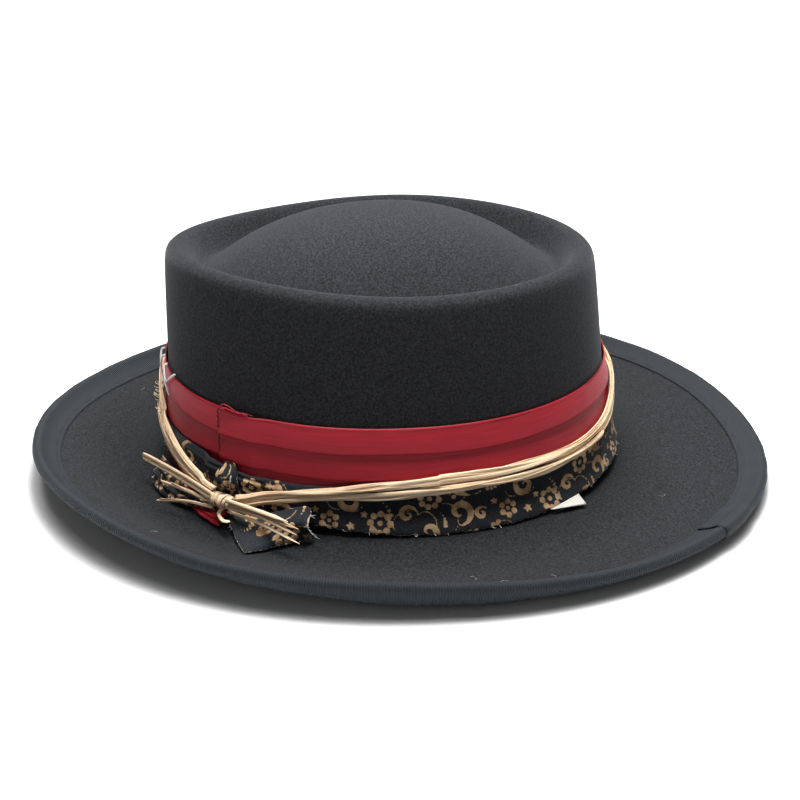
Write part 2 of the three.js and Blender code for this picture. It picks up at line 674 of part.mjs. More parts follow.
function printSection(angle) {
  const inner = bandFace(angle) + GAP;
  const outer = inner + PRINT_THICKNESS;
  const top = PRINT_TOP * columnAt(PRINT_SECTIONS, 'top', angle) + bandLift(angle) / 2;
  const foot = PRINT_TOP * columnAt(PRINT_SECTIONS, 'foot', angle);
  const fold = PRINT_FOLD * columnAt(PRINT_SECTIONS, 'fold', angle);
  const flare = PRINT_FLARE * columnAt(PRINT_SECTIONS, 'flare', angle);
  const depth = top - foot;
  return [
    { out: outer, height: top },
    { out: outer + fold, height: top - depth * 0.2 },
    { out: outer + fold * 0.2, height: top - depth * 0.42 },
    { out: outer + fold * 0.9, height: top - depth * 0.66 },
    { out: outer + flare, height: foot },
    { out: inner + flare, height: foot },
    { out: inner, height: top - depth * 0.6 },
    { out: inner, height: top },
  ];
}

function printedBand() {
  const clearance = THREE.MathUtils.radToDeg(GAP / wallRadius(KNOT_AT, PRINT_TOP));
  const first = KNOT_AT + KNOT_HALF_ANGLE + clearance;
  const last = KNOT_AT + 360 - KNOT_HALF_ANGLE - clearance;
  const between = spokeAngles.flatMap((angle) => [angle, angle + 360]);
  const inside = between.filter((angle) => angle > first + 1 && angle < last - 1).sort((a, b) => a - b);
  const rows = [first, ...inside, last].map((angle) => (
    printSection(angle).map(({ out, height }) => onWall(angle, out, height))));
  const outline = printSection(first).map(({ out, height }) => new THREE.Vector2(out, height));
  return loftSolid(rows, { outline });
}

addPiece('printed_band', printedBand(), PRINT_LOOK);

// Knot of the printed strip: a turn of cloth that gathers it

const KNOT_SIDES = 10;

function circleCorner(side, sides) {
  const turn = degrees(360 * side / sides);
  return new THREE.Vector2(Math.cos(turn), Math.sin(turn));
}

function circleOutline(sides) {
  return Array.from({ length: sides }, (_, side) => circleCorner(side, sides));
}

function printedKnot() {
  const inner = bandFace(KNOT_AT) + GAP;
  const outline = circleOutline(KNOT_SIDES);
  const rows = KNOT_SECTIONS.map(({ height, breadth, depth }) => outline.map((corner) => {
    const angle = KNOT_AT + KNOT_HALF_ANGLE * breadth * corner.x;
    return onWall(angle, inner + KNOT_DEPTH * depth * (1 + corner.y) / 2, PRINT_TOP * height);
  }));
  return loftSolid(rows, { outline });
}

addPiece('printed_knot', printedKnot(), PRINT_LOOK);

// Tails of cloth

const TAIL_COLUMNS = 5;

// How far the brim's face has fallen below the crown's foot, at a distance out from the wall
function brimFall(angle, out) {
  const width = edgePoint(angle, EDGE_RUN).radius - wallRadius(angle, FELT_WALL) - FOOT_ROUND;
  return CROWN_STAND * THREE.MathUtils.clamp((out - FOOT_ROUND) / width / REST_FROM, 0, 1);
}

function clothTail(table, reach, rise, thickness) {
  const grid = table.map((row) => Array.from({ length: TAIL_COLUMNS }, (_, column) => {
    const share = column / (TAIL_COLUMNS - 1);
    const angle = THREE.MathUtils.lerp(row.lowAt, row.highAt, share);
    const out = THREE.MathUtils.lerp(row.lowOut, row.highOut, share) + row.bulge * Math.sin(Math.PI * share);
    const height = THREE.MathUtils.lerp(row.lowHeight, row.highHeight, share);
    const fall = brimFall(angle, reach * row.lowOut) * (1 - share);
    return onWall(angle, reach * out, rise * height - fall);
  }));
  return sheetSolid(grid, thickness);
}

const frontTail = clothTail(FRONT_TAIL, FRONT_TAIL_REACH, FRONT_TAIL_RISE, PRINT_THICKNESS);
addPiece('printed_tail_front', frontTail, PRINT_LOOK);
const backTail = clothTail(BACK_TAIL, BACK_TAIL_REACH, BACK_TAIL_RISE, PRINT_THICKNESS);
addPiece('printed_tail_back', backTail, PRINT_LOOK);
addPiece('red_tail', clothTail(RED_TAIL, RED_TAIL_REACH, RED_TAIL_RISE, PRINT_THICKNESS), SATIN_LOOK);

// Raffia strands: flat bundles that lie on whatever cloth is under them

const STRAND_MARGIN = 1;

// Corners of a strand's section: out is a share of its depth and height of its height
const STRAND_SECTION = [
  { out: 0, height: 0.3 },
  { out: 0.65, height: 0.5 },
  { out: 1, height: 0 },
  { out: 0.65, height: -0.5 },
  { out: 0, height: -0.3 },
];

// Outermost cloth between two heights
function clothFace(angle, low, high) {
  const face = printSection(angle).slice(0, PRINT_FACE_POINTS);
  let most = bandFace(angle);
  for (let index = 0; index + 1 < face.length; index += 1) {
    const upper = face[index];
    const lower = face[index + 1];
    for (const level of [low, high, upper.height, lower.height]) {
      const inside = level >= low && level <= high && level <= upper.height && level >= lower.height;
      const share = (upper.height - level) / (upper.height - lower.height);
      if (inside) most = Math.max(most, THREE.MathUtils.lerp(upper.out, lower.out, share));
    }
  }
  return most;
}

function raffiaStrand(route) {
  const first = route[0].at;
  const last = route[route.length - 1].at;
  const between = spokeAngles.flatMap((angle) => [angle, angle + 360]);
  const inside = between.filter((angle) => angle > first + 1 && angle < last - 1).sort((a, b) => a - b);
  const rows = [first, ...inside, last].map((angle) => {
    const middle = BAND_TOP * routeAt(route, 'height', angle);
    const size = routeAt(route, 'size', angle);
    const half = STRAND_HEIGHT * size / 2;
    const stand = STRAND_DEPTH * Math.max(0, routeAt(route, 'stand', angle));
    const margin = half + STRAND_MARGIN;
    const inner = clothFace(angle, middle - margin, middle + margin) + GAP + stand;
    return STRAND_SECTION.map(({ out, height }) => (
      onWall(angle, inner + STRAND_DEPTH * out, middle + STRAND_HEIGHT * size * height)));
  });
  const outline = STRAND_SECTION.map(({ out, height }) => new THREE.Vector2(out, height));
  return loftSolid(rows, { outline });
}

addPiece('raffia_upper_strand', raffiaStrand(UPPER_ROUTE), RAFFIA_LOOK);
addPiece('raffia_lower_strand', raffiaStrand(LOWER_ROUTE), RAFFIA_LOOK);

// Raffia knot and its cut ends

const RAFFIA_KNOT_SIDES = 8;
const RAFFIA_KNOT_RADIUS_OUT = wallRadius(KNOT_AT, RAFFIA_KNOT_HEIGHT) + RAFFIA_KNOT_OUT;
const RAFFIA_KNOT_HALF_ANGLE = THREE.MathUtils.radToDeg(RAFFIA_KNOT_LENGTH / 2 / RAFFIA_KNOT_RADIUS_OUT);

function raffiaKnot() {
  const outline = circleOutline(RAFFIA_KNOT_SIDES);
  const rows = RAFFIA_KNOT_SECTIONS.map(({ along, radius }) => outline.map((corner) => {
    const reach = RAFFIA_KNOT_DIAMETER / 2 * radius;
    const angle = KNOT_AT + RAFFIA_KNOT_HALF_ANGLE * along;
    return onWall(angle, RAFFIA_KNOT_OUT + reach * corner.x, RAFFIA_KNOT_HEIGHT + reach * corner.y);
  }));
  return loftSolid(rows, { outline });
}

addPiece('raffia_knot', raffiaKnot(), RAFFIA_LOOK);

const RAFFIA_TAIL_STEPS = 5;

RAFFIA_TAILS.forEach((tail, index) => {
  const clearance = THREE.MathUtils.radToDeg(1.5 * GAP / RAFFIA_KNOT_RADIUS_OUT);
  const startAngle = KNOT_AT + tail.side * (RAFFIA_KNOT_HALF_ANGLE + clearance);
  const start = onWall(startAngle, RAFFIA_TAIL_REACH * tail.fromOut, RAFFIA_KNOT_HEIGHT * tail.fromHeight);
  const end = onWall(tail.at, RAFFIA_TAIL_REACH * tail.toOut, RAFFIA_KNOT_HEIGHT * tail.toHeight);
  const arch = start.clone().lerp(end, 0.5).add(new THREE.Vector3(0, 0, RAFFIA_TAIL_ARCH * tail.arch));
  const curve = new THREE.CatmullRomCurve3([start, arch, end]);
  const geometry = strandGeometry(curve, RAFFIA_TAIL_DIAMETER * tail.size, RAFFIA_TAIL_STEPS);
  addPiece(`raffia_tail_${index + 1}`, geometry, RAFFIA_LOOK);
});

export default hat;
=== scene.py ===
# %% [markdown]
# # A gambler hat in felt, satin, cotton and raffia
#
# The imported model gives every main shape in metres: the felt body, the tape round the brim, the
# satin band, the printed strip and the raffia. This notebook keeps those shapes and gives each one
# the surface, folds and loose ends of the real thing. The frame is loaded first, because every
# piece that follows is fitted to it.

# %% Load the frame
import math

import bmesh
import bpy
import numpy as np
from mathutils import Matrix, Vector


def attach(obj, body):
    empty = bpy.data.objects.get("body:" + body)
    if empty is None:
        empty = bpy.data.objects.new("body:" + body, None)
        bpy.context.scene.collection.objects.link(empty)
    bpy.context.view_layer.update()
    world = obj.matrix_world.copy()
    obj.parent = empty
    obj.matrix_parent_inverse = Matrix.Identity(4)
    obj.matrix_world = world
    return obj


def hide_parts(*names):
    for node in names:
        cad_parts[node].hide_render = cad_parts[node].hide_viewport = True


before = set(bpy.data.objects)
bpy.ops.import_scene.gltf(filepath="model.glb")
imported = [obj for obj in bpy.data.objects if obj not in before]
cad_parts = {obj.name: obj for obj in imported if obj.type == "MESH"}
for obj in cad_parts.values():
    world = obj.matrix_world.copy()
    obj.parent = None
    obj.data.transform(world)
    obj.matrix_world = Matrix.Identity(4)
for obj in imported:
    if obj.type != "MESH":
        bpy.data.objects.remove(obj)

scene = bpy.context.scene
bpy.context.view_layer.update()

# %% [markdown]
# ## The camera and the light
#
# The camera stands at the photograph's angle: beside the hat, on the wearer's left, looking down
# on it at 25 degrees. Its turn is built from three axes, which is plainer than chasing angles.
# A black hat needs large soft lights, because small ones would leave it without form. One big
# panel hangs overhead, a small one close above the hat brightens the crown's top, a weak one
# stands on the camera's side, and the one behind the hat keeps the far floor white.

# %% Camera
AZIMUTH, ELEVATION, ROLL = math.radians(83.54), math.radians(25.16), math.radians(0.445)
CAMERA_PLACE, LENS_MM, SENSOR_MM = (0.6006, -0.0686, 0.3093), 64.19, 36
back = Vector((
    math.sin(AZIMUTH) * math.cos(ELEVATION),
    -math.cos(AZIMUTH) * math.cos(ELEVATION),
    math.sin(ELEVATION),
))
level_right = Vector((math.cos(AZIMUTH), math.sin(AZIMUTH), 0))
level_up = back.cross(level_right)
right = level_right * math.cos(ROLL) + level_up * math.sin(ROLL)
up = level_up * math.cos(ROLL) - level_right * math.sin(ROLL)

camera_data = bpy.data.cameras.new("camera")
camera_data.sensor_width = SENSOR_MM
camera_data.lens = LENS_MM
camera = bpy.data.objects.new("camera", camera_data)
camera.matrix_world = Matrix.Translation(CAMERA_PLACE) @ (
    Matrix((right, up, back)).transposed().to_4x4())
scene.collection.objects.link(camera)
scene.camera = camera
print("camera at", [round(c, 3) for c in camera.location])

# %% Floor, lights and the room's light
def area_light(name, place, aim, size, power):
    """A square panel that looks at a spot: metres and watts."""
    data = bpy.data.lights.new(name, "AREA")
    data.shape = "SQUARE"
    data.size = size
    data.energy = power
    light = bpy.data.objects.new(name, data)
    light.location = place
    light.rotation_euler = (Vector(place) - Vector(aim)).to_track_quat("Z", "Y").to_euler()
    scene.collection.objects.link(light)


area_light("panel_overhead", (0.0, 0.0, 1.3), (0, 0, 0.05), 0.9, 17.5)
area_light("panel_near", (0.03, 0.0, 0.52), (0.03, 0, 0.05), 0.26, 4.7)
area_light("panel_camera_side", (1.3, -0.7, 0.75), (0, 0, 0.05), 0.9, 0.9)
area_light("panel_back", (-1.9, 0.2, 1.2), (-2.0, 0.2, 0), 1.8, 38)

floor_mesh = bpy.data.meshes.new("floor")
grid = bmesh.new()
bmesh.ops.create_grid(grid, x_segments=1, y_segments=1, size=6)
grid.to_mesh(floor_mesh)
grid.free()
floor = bpy.data.objects.new("floor", floor_mesh)
scene.collection.objects.link(floor)

room = bpy.data.worlds.new("room")
room.use_nodes = True
background = room.node_tree.nodes["Background"]
background.inputs["Color"].default_value = (1, 1, 1, 1)
background.inputs["Strength"].default_value = 0.12
scene.world = room
scene.view_settings.view_transform = "Standard"

# %% [markdown]
# ## Material helpers
#
# Felt, cloth and raffia share three effects: a fine speckle of fibres, threads or ribs that run
# across a strip, and streaks drawn out along it. Each is made once as a node group with named
# inputs, then placed in each material with its own values. The shaders stay in the materials.

# %% Colour and material helpers
def srgb(red, green, blue):
    """A colour given as 0 to 255, as a picture program shows it, made linear for a shader."""
    shares = [c / 255 for c in (red, green, blue)]
    return (*[c / 12.92 if c < 0.0405 else ((c + 0.055) / 1.055) ** 2.4 for c in shares], 1)


def new_material(name, roughness, sheen=0.0, sheen_tint=(1, 1, 1, 1)):
    material = bpy.data.materials.new(name)
    material.use_nodes = True
    shader = material.node_tree.nodes["Principled BSDF"]
    shader.inputs["Roughness"].default_value = roughness
    shader.inputs["Specular IOR Level"].default_value = 0.28
    shader.inputs["Sheen Weight"].default_value = sheen
    shader.inputs["Sheen Roughness"].default_value = 0.45
    shader.inputs["Sheen Tint"].default_value = sheen_tint
    print("material:", name)
    return material, material.node_tree


def new_group(name, inputs, outputs):
    group = bpy.data.node_groups.new(name, "ShaderNodeTree")
    for label, kind, value in inputs:
        socket = group.interface.new_socket(label, in_out="INPUT", socket_type=kind)
        if value is not None:
            socket.default_value = value
    for label in outputs:
        group.interface.new_socket(label, in_out="OUTPUT", socket_type="NodeSocketFloat")
    print(name, "group:", [socket.name for socket in group.interface.items_tree])
    given, made = group.nodes.new("NodeGroupInput"), group.nodes.new("NodeGroupOutput")
    return group, given.outputs, made.inputs


def put_group(tree, group, coordinates, **values):
    """A group placed in a material, on the piece's own "Object" or "UV" coordinates."""
    node = tree.nodes.new("ShaderNodeGroup")
    node.node_tree = group
    tree.links.new(tree.nodes.new("ShaderNodeTexCoord").outputs[coordinates], node.inputs["Vector"])
    for label, value in values.items():
        node.inputs[label.replace("_", " ")].default_value = value
    return node.outputs


def feed(tree, socket, value):
    """Set a socket to a plain value, or link it to another socket."""
    if isinstance(value, (int, float, tuple)):
        socket.default_value = value
    else:
        tree.links.new(value, socket)


def math_node(tree, operation, first, second=0.0):
    node = tree.nodes.new("ShaderNodeMath")
    node.operation = operation
    feed(tree, node.inputs[0], first)
    feed(tree, node.inputs[1], second)
    return node.outputs[0]


def mix_colours(tree, share, first, second):
    node = tree.nodes.new("ShaderNodeMix")
    node.data_type = "RGBA"
    for number, value in ((0, share), (6, first), (7, second)):
        feed(tree, node.inputs[number], value)
    return node.outputs[2]


def colour_ramp(tree, share, low, high, low_at=0.0, high_at=1.0):
    """From one colour to another as a share grows between two stops."""
    ramp = tree.nodes.new("ShaderNodeValToRGB")
    for stop, colour, at in zip(ramp.color_ramp.elements, (low, high), (low_at, high_at)):
        stop.position = at
        stop.color = colour
    feed(tree, ramp.inputs["Fac"], share)
    return ramp.outputs["Color"]


def read_attribute(tree, name):
    node = tree.nodes.new("ShaderNodeAttribute")
    node.attribute_name = name
    return node.outputs["Fac"]


def paint(tree, colour, height=None, distance=0.0, strength=1.0):
    """Finish a material with its colour and, where it has a height, a bump of a size in metres."""
    shader = tree.nodes["Principled BSDF"]
    tree.links.new(colour, shader.inputs["Base Color"])
    if height is None:
        return
    bump = tree.nodes.new("ShaderNodeBump")
    bump.inputs["Distance"].default_value = distance
    bump.inputs["Strength"].default_value = strength
    tree.links.new(height, bump.inputs["Height"])
    tree.links.new(bump.outputs["Normal"], shader.inputs["Normal"])


# %% Speckle: the fine, uneven grain of fibres
speckle_group, given, made = new_group("speckle", [
    ("Vector", "NodeSocketVector", None), ("Fine Scale", "NodeSocketFloat", 1500.0),
    ("Coarse Scale", "NodeSocketFloat", 120.0)], ["Fine", "Coarse"])
for label in ("Fine", "Coarse"):
    grains = speckle_group.nodes.new("ShaderNodeTexNoise")
    grains.inputs["Detail"].default_value = 3
    grains.inputs["Roughness"].default_value = 0.6
    speckle_group.links.new(given["Vector"], grains.inputs["Vector"])
    speckle_group.links.new(given[label + " Scale"], grains.inputs["Scale"])
    speckle_group.links.new(grains.outputs["Fac"], made[label])

# %% Ribs: threads that run across a strip, along its own UV map
ribs_group, given, made = new_group("ribs", [
    ("Vector", "NodeSocketVector", None), ("Spacing", "NodeSocketFloat", 0.001)], ["Height"])
split = ribs_group.nodes.new("ShaderNodeSeparateXYZ")
ribs_group.links.new(given["Vector"], split.inputs[0])
turns = math_node(ribs_group, "DIVIDE", split.outputs["X"], given["Spacing"])
wave = math_node(ribs_group, "SINE", math_node(ribs_group, "MULTIPLY", turns, 2 * math.pi))
raised = math_node(ribs_group, "ADD", wave, 1.0)
ribs_group.links.new(math_node(ribs_group, "MULTIPLY", raised, 0.5), made["Height"])

# %% Streaks: grain drawn out along a strip
streaks_group, given, made = new_group("streaks", [
    ("Vector", "NodeSocketVector", None), ("Grains", "NodeSocketVector", (50, 1000, 1)),
    ("Detail", "NodeSocketFloat", 3.0)], ["Grain"])
stretch = streaks_group.nodes.new("ShaderNodeMapping")
grains = streaks_group.nodes.new("ShaderNodeTexNoise")
grains.inputs["Scale"].default_value = 1.0
streaks_group.links.new(given["Vector"], stretch.inputs["Vector"])
streaks_group.links.new(given["Grains"], stretch.inputs["Scale"])
streaks_group.links.new(given["Detail"], grains.inputs["Detail"])
streaks_group.links.new(stretch.outputs["Vector"], grains.inputs["Vector"])
streaks_group.links.new(grains.outputs["Fac"], made["Grain"])

# %% [markdown]
# ## The felt
#
# Wool felt has no weave: its fibres point every way, so up close it is a speckle of slightly
# lighter and darker grains with a soft nap. The speckle comes from a noise in the object's own
# coordinates, so it never stretches, and a little sheen gives the nap its pale edge.

# %% Felt material
felt_material, tree = new_material("black_felt", 0.95, 0.11, srgb(195, 200, 210))
grain = put_group(tree, speckle_group, "Object", Fine_Scale=1100.0, Coarse_Scale=55.0)
nap = colour_ramp(tree, grain["Fine"], srgb(4, 5, 6), srgb(40, 41, 44), 0.38, 0.66)
worn = math_node(tree, "MULTIPLY", grain["Coarse"], 0.25)
paint(tree, mix_colours(tree, worn, nap, srgb(28, 29, 31)), grain["Fine"], 0.0003, 0.6)

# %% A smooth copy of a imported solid
def smooth_copy(node, name, levels, material):
    """The solid's triangles merged and paired into quads, then rounded by Subdivision Surface."""
    bm = bmesh.new()
    bm.from_mesh(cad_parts[node].data)
    bmesh.ops.remove_doubles(bm, verts=bm.verts, dist=1e-6)
    bmesh.ops.join_triangles(
        bm, faces=bm.faces, angle_face_threshold=math.radians(60),
        angle_shape_threshold=math.radians(70))
    for face in bm.faces:
        face.smooth = True
    mesh = bpy.data.meshes.new(name)
    bm.to_mesh(mesh)
    bm.free()
    mesh.materials.clear()
    mesh.materials.append(material)
    piece = bpy.data.objects.new(name, mesh)
    scene.collection.objects.link(piece)
    rounding = piece.modifiers.new("rounding", "SUBSURF")
    rounding.levels = rounding.render_levels = levels
    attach(piece, "root")
    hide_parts(node)
    quads = sum(len(face.vertices) == 4 for face in mesh.polygons)
    print(name, "quads:", quads, "of", len(mesh.polygons))
    return piece


felt_hat = smooth_copy("felt_body", "felt_hat", 2, felt_material)

# %% [markdown]
# ## The hat's own coordinates
#
# Every trimming follows the crown's wall, so a spot is given by an angle round the hat, a distance
# out from the wall and a height above the crown's foot, in millimetres, as a milliner would
# measure it. Three short functions turn that into metres in the frame. Tables of a few rows, read
# along a smooth curve, say how the brim's edge and the cloth change round the hat.

# %% Places on the hat
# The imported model's own sizes in millimetres, but for the knot's angle in degrees. Each taper is
# what the oval loses from the crown's foot to its top.
FELT_WALL, CROWN_STAND, CROWN_FORWARD = 2.2, 2.9, 4.8
CROWN_HEIGHT, CROWN_LEAN, OVAL_POWER = 101.4, 5.3, 2.12
CROWN_LENGTH, LENGTH_TAPER, CROWN_WIDTH, WIDTH_TAPER = 205, 14.6, 173, 14.2
BAND_TOP, BAND_TILT, PRINT_TOP, KNOT_AT = 51.9, 2.6, 25.0, 42.6


def oval(angle, half_length, half_width):
    along = np.abs(np.cos(np.radians(angle))) / half_length
    across = np.abs(np.sin(np.radians(angle))) / half_width
    return (along ** OVAL_POWER + across ** OVAL_POWER) ** (-1 / OVAL_POWER)


def wall_radius(angle, height):
    rise = (height - FELT_WALL) / (CROWN_HEIGHT - FELT_WALL)
    length, width = CROWN_LENGTH - LENGTH_TAPER * rise, CROWN_WIDTH - WIDTH_TAPER * rise
    return oval(angle, length / 2, width / 2)


def place(angle, radius, height):
    """Spots in metres from angles in degrees, radii and heights in millimetres."""
    turned = np.radians(angle)
    x = radius * np.sin(turned)
    y = -radius * np.cos(turned) - CROWN_FORWARD - CROWN_LEAN * height / CROWN_HEIGHT
    return np.stack(np.broadcast_arrays(x, y, height + CROWN_STAND), axis=-1) / 1000


def on_wall(angle, out, height):
    return place(angle, wall_radius(angle, height) + out, height)


def through(table, column, at, period=None):
    """A column of a table at some places, on a smooth curve through its rows."""
    xs = np.array([row[0] for row in table], float)
    ys = np.array([row[column] for row in table], float)
    if period:
        xs = np.concatenate([xs - period, xs, xs + period])
        ys = np.tile(ys, 3)
        at = np.mod(at, period)
    slopes = np.empty_like(ys)
    slopes[1:-1] = (ys[2:] - ys[:-2]) / (xs[2:] - xs[:-2])
    slopes[0] = (ys[1] - ys[0]) / (xs[1] - xs[0])
    slopes[-1] = (ys[-1] - ys[-2]) / (xs[-1] - xs[-2])
    found = np.clip(np.searchsorted(xs, at, side="right") - 1, 0, len(xs) - 2)
    span = xs[found + 1] - xs[found]
    t = np.clip((at - xs[found]) / span, 0, 1)
    rise = (ys[found + 1] - ys[found]) * t * t * (3 - 2 * t)
    bow = slopes[found] * span * t * (1 - t) ** 2 - slopes[found + 1] * span * t * t * (1 - t)
    return ys[found] + rise + bow


def smooth(share):
    share = np.clip(share, 0, 1)
    return share * share * (3 - 2 * share)


def wander(at, wavelength, seed):
    """A slow random wave between about -1 and 1."""
    count = 400
    heights = np.random.default_rng(seed).uniform(-1, 1, count)
    table = list(zip(np.arange(count) * wavelength, heights))
    return through(table, 1, np.mod(at, (count - 1) * wavelength))


print("crown's foot, front and left, m:", on_wall(0, 0, 0).round(4), on_wall(90, 0, 0).round(4))

# %% [markdown]
# ## How a strip of cloth is made
#
# A strip starts as a flat grid, as cloth does. Each vertex is then moved to its spot, and Solidify
# gives the cloth its thickness. The UV map holds the cloth's own measures in metres, so a rib or a
# thread has the same size everywhere. Other numbers that a material needs, such as the distance
# from a cut edge, are stored as attributes.

# %% Cloth from grids of spots
def cloth_map(spots):
    """Distances along and across a grid of spots, in metres."""
    middle = spots[:, spots.shape[1] // 2]
    along = np.concatenate([[0], np.cumsum(np.linalg.norm(np.diff(middle, axis=0), axis=1))])
    steps = np.linalg.norm(np.diff(spots, axis=1), axis=2)
    across = np.concatenate([np.zeros((len(spots), 1)), np.cumsum(steps, axis=1)], axis=1)
    return np.broadcast_to(along[:, None], across.shape), across


def cloth(name, grids, material, thickness, **attributes):
    """Strips of cloth in one mesh: each grid has its rows along the strip and columns across it."""
    bm = bmesh.new()
    uv_layer = bm.loops.layers.uv.new("UVMap")
    layers = {label: bm.verts.layers.float.new(label) for label in attributes}
    area = 0
    for number, spots in enumerate(grids):
        rows, columns = spots.shape[:2]
        along, across = cloth_map(spots)
        flat = bmesh.ops.create_grid(bm, x_segments=rows - 1, y_segments=columns - 1, size=1)
        spot_of = {}
        for vert in flat["verts"]:
            row = round((vert.co.x + 1) / 2 * (rows - 1))
            column = round((vert.co.y + 1) / 2 * (columns - 1))
            spot = spot_of[vert] = row, column
            vert.co = spots[spot]
            for label, layer in layers.items():
                vert[layer] = float(attributes[label][number][spot])
        for face in {face for vert in spot_of for face in vert.link_faces}:
            for loop in face.loops:
                spot = spot_of[loop.vert]
                loop[uv_layer].uv = (along[spot], across[spot])
    bmesh.ops.recalc_face_normals(bm, faces=bm.faces)
    for face in bm.faces:
        face.smooth = True
        area += face.calc_area()
    mesh = bpy.data.meshes.new(name)
    bm.to_mesh(mesh)
    bm.free()
    mesh.materials.append(material)
    piece = bpy.data.objects.new(name, mesh)
    scene.collection.objects.link(piece)
    body = piece.modifiers.new("thickness", "SOLIDIFY")
    body.thickness = thickness / 1000
    body.offset = 0
    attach(piece, "root")
    print(f"{name}: {len(mesh.vertices)} vertices, {area * 1e6:.0f} square mm of cloth")
    return piece


# %% Ribbons and threads
def ribbon(path, outward, width, tilt, bow=0.0):
    """A narrow flat strip along a path: its face looks outward, and tilt turns it, in radians."""
    ahead = np.gradient(path, axis=0)
    ahead /= np.linalg.norm(ahead, axis=1, keepdims=True)
    side = np.cross(ahead, outward)
    side /= np.linalg.norm(side, axis=1, keepdims=True)
    face = np.cross(side, ahead)
    tilt = np.broadcast_to(tilt, len(path))[:, None]
    across = side * np.cos(tilt) + face * np.sin(tilt)
    normal = face * np.cos(tilt) - side * np.sin(tilt)
    share = np.linspace(-1, 1, 5)
    width = np.broadcast_to(width, len(path))[:, None, None]
    flat = path[:, None] + across[:, None] * share[None, :, None] * width / 2
    return flat + normal[:, None] * (1 - share[None, :, None] ** 2) * width * bow


def bend_path(spots, steps):
    """A smooth path through a few spots."""
    spots = np.array(spots, float)
    at = np.concatenate([[0], np.cumsum(np.linalg.norm(np.diff(spots, axis=0), axis=1))])
    places = np.linspace(0, at[-1], steps)
    along = [through(list(zip(at, spots[:, axis])), 1, places) for axis in range(3)]
    return np.stack(along, axis=-1)


def threads(name, paths, diameter, material):
    """Loose threads in one piece: a round curve along each path, thinner at its far end."""
    data = bpy.data.curves.new(name, "CURVE")
    data.dimensions = "3D"
    data.bevel_depth = diameter / 2000
    data.bevel_resolution = 1
    data.use_fill_caps = True
    for path in paths:
        spline = data.splines.new("POLY")
        spline.points.add(len(path) - 1)
        for point, spot, share in zip(spline.points, path, np.linspace(0, 1, len(path))):
            point.co = (*spot, 1)
            point.radius = 1 - 0.5 * share ** 3
    data.materials.append(material)
    piece = bpy.data.objects.new(name, data)
    scene.collection.objects.link(piece)
    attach(piece, "root")
    print(f"{name}: {len(paths)} threads, {diameter} mm thick")
    return piece

# %% [markdown]
# ## The tape round the brim
#
# The brim's edge is bound with ribbed tape, folded over it and a little puffy, so its section is a
# long U. The edge turns up at both sides and less at front and back, which a table of twelve rows
# describes. The tape starts and ends at the back left, where its last few millimetres lap over.

# %% Brim edge
BRIM_LENGTH, BRIM_WIDTH, BRIM_BACK, EDGE_RUN = 331.1, 287.3, 6.2, 14.6
# Angle and turn in degrees, lift and spread in millimetres
BRIM_EDGE = [
    (0, 52.5, 8.52, 0.94), (30, 59.0, 12.0, -0.69), (60, 62.3, 7.44, -0.48),
    (90, 82.0, 2.88, -0.33), (120, 54.1, 1.8, 0.45), (150, 32.8, 2.4, 0.91),
    (180, 23.0, 2.4, -0.51), (210, 33.6, 2.4, -0.24), (240, 59.9, 1.2, -0.03),
    (270, 77.1, 0.72, 0.02), (300, 68.1, 1.32, 0.02), (330, 51.7, 3.24, 0.08),
]


def edge_spots(angle, back, over):
    """Spots at a distance back from the brim's edge and a height over its upper face."""
    turn = np.radians(through(BRIM_EDGE, 1, angle, 360))
    lift = np.maximum(0, through(BRIM_EDGE, 2, angle, 360))
    outline = oval(angle, BRIM_LENGTH / 2, BRIM_WIDTH / 2) + through(BRIM_EDGE, 3, angle, 360)
    bend = EDGE_RUN / turn
    start = outline - BRIM_BACK * np.cos(np.radians(angle)) - bend * np.sin(turn)
    run = EDGE_RUN - back
    slope = turn * np.clip(run / EDGE_RUN, 0, 1)
    beyond = np.maximum(0, -back)
    radius = start + bend * np.sin(slope) + beyond * np.cos(turn) - over * np.sin(slope)
    height = FELT_WALL - CROWN_STAND + lift + bend * (1 - np.cos(slope)) + beyond * np.sin(turn)
    return place(angle, radius + np.minimum(run, 0), height + over * np.cos(slope))


# %% Tape material: ribs across it and a stitched line near each edge
tape_material, tree = new_material("ribbed_tape", 0.72, 0.1, srgb(150, 165, 175))
ribs = put_group(tree, ribs_group, "UV", Spacing=0.0011)["Height"]
grain = put_group(tree, speckle_group, "Object", Fine_Scale=900.0, Coarse_Scale=40.0)
seam = read_attribute(tree, "seam")
rib_tone = math_node(tree, "MULTIPLY", math_node(tree, "ADD", ribs, grain["Fine"]), 0.5)
tape_colour = colour_ramp(tree, rib_tone, srgb(16, 19, 22), srgb(38, 44, 49))
tape_height = math_node(tree, "SUBTRACT", ribs, math_node(tree, "MULTIPLY", seam, 1.5))
paint(tree, mix_colours(tree, seam, tape_colour, srgb(16, 18, 21)), tape_height, 0.00035, 0.9)

# %% Tape
TAPE_JOIN, TAPE_LAP = 140.5, 5.8
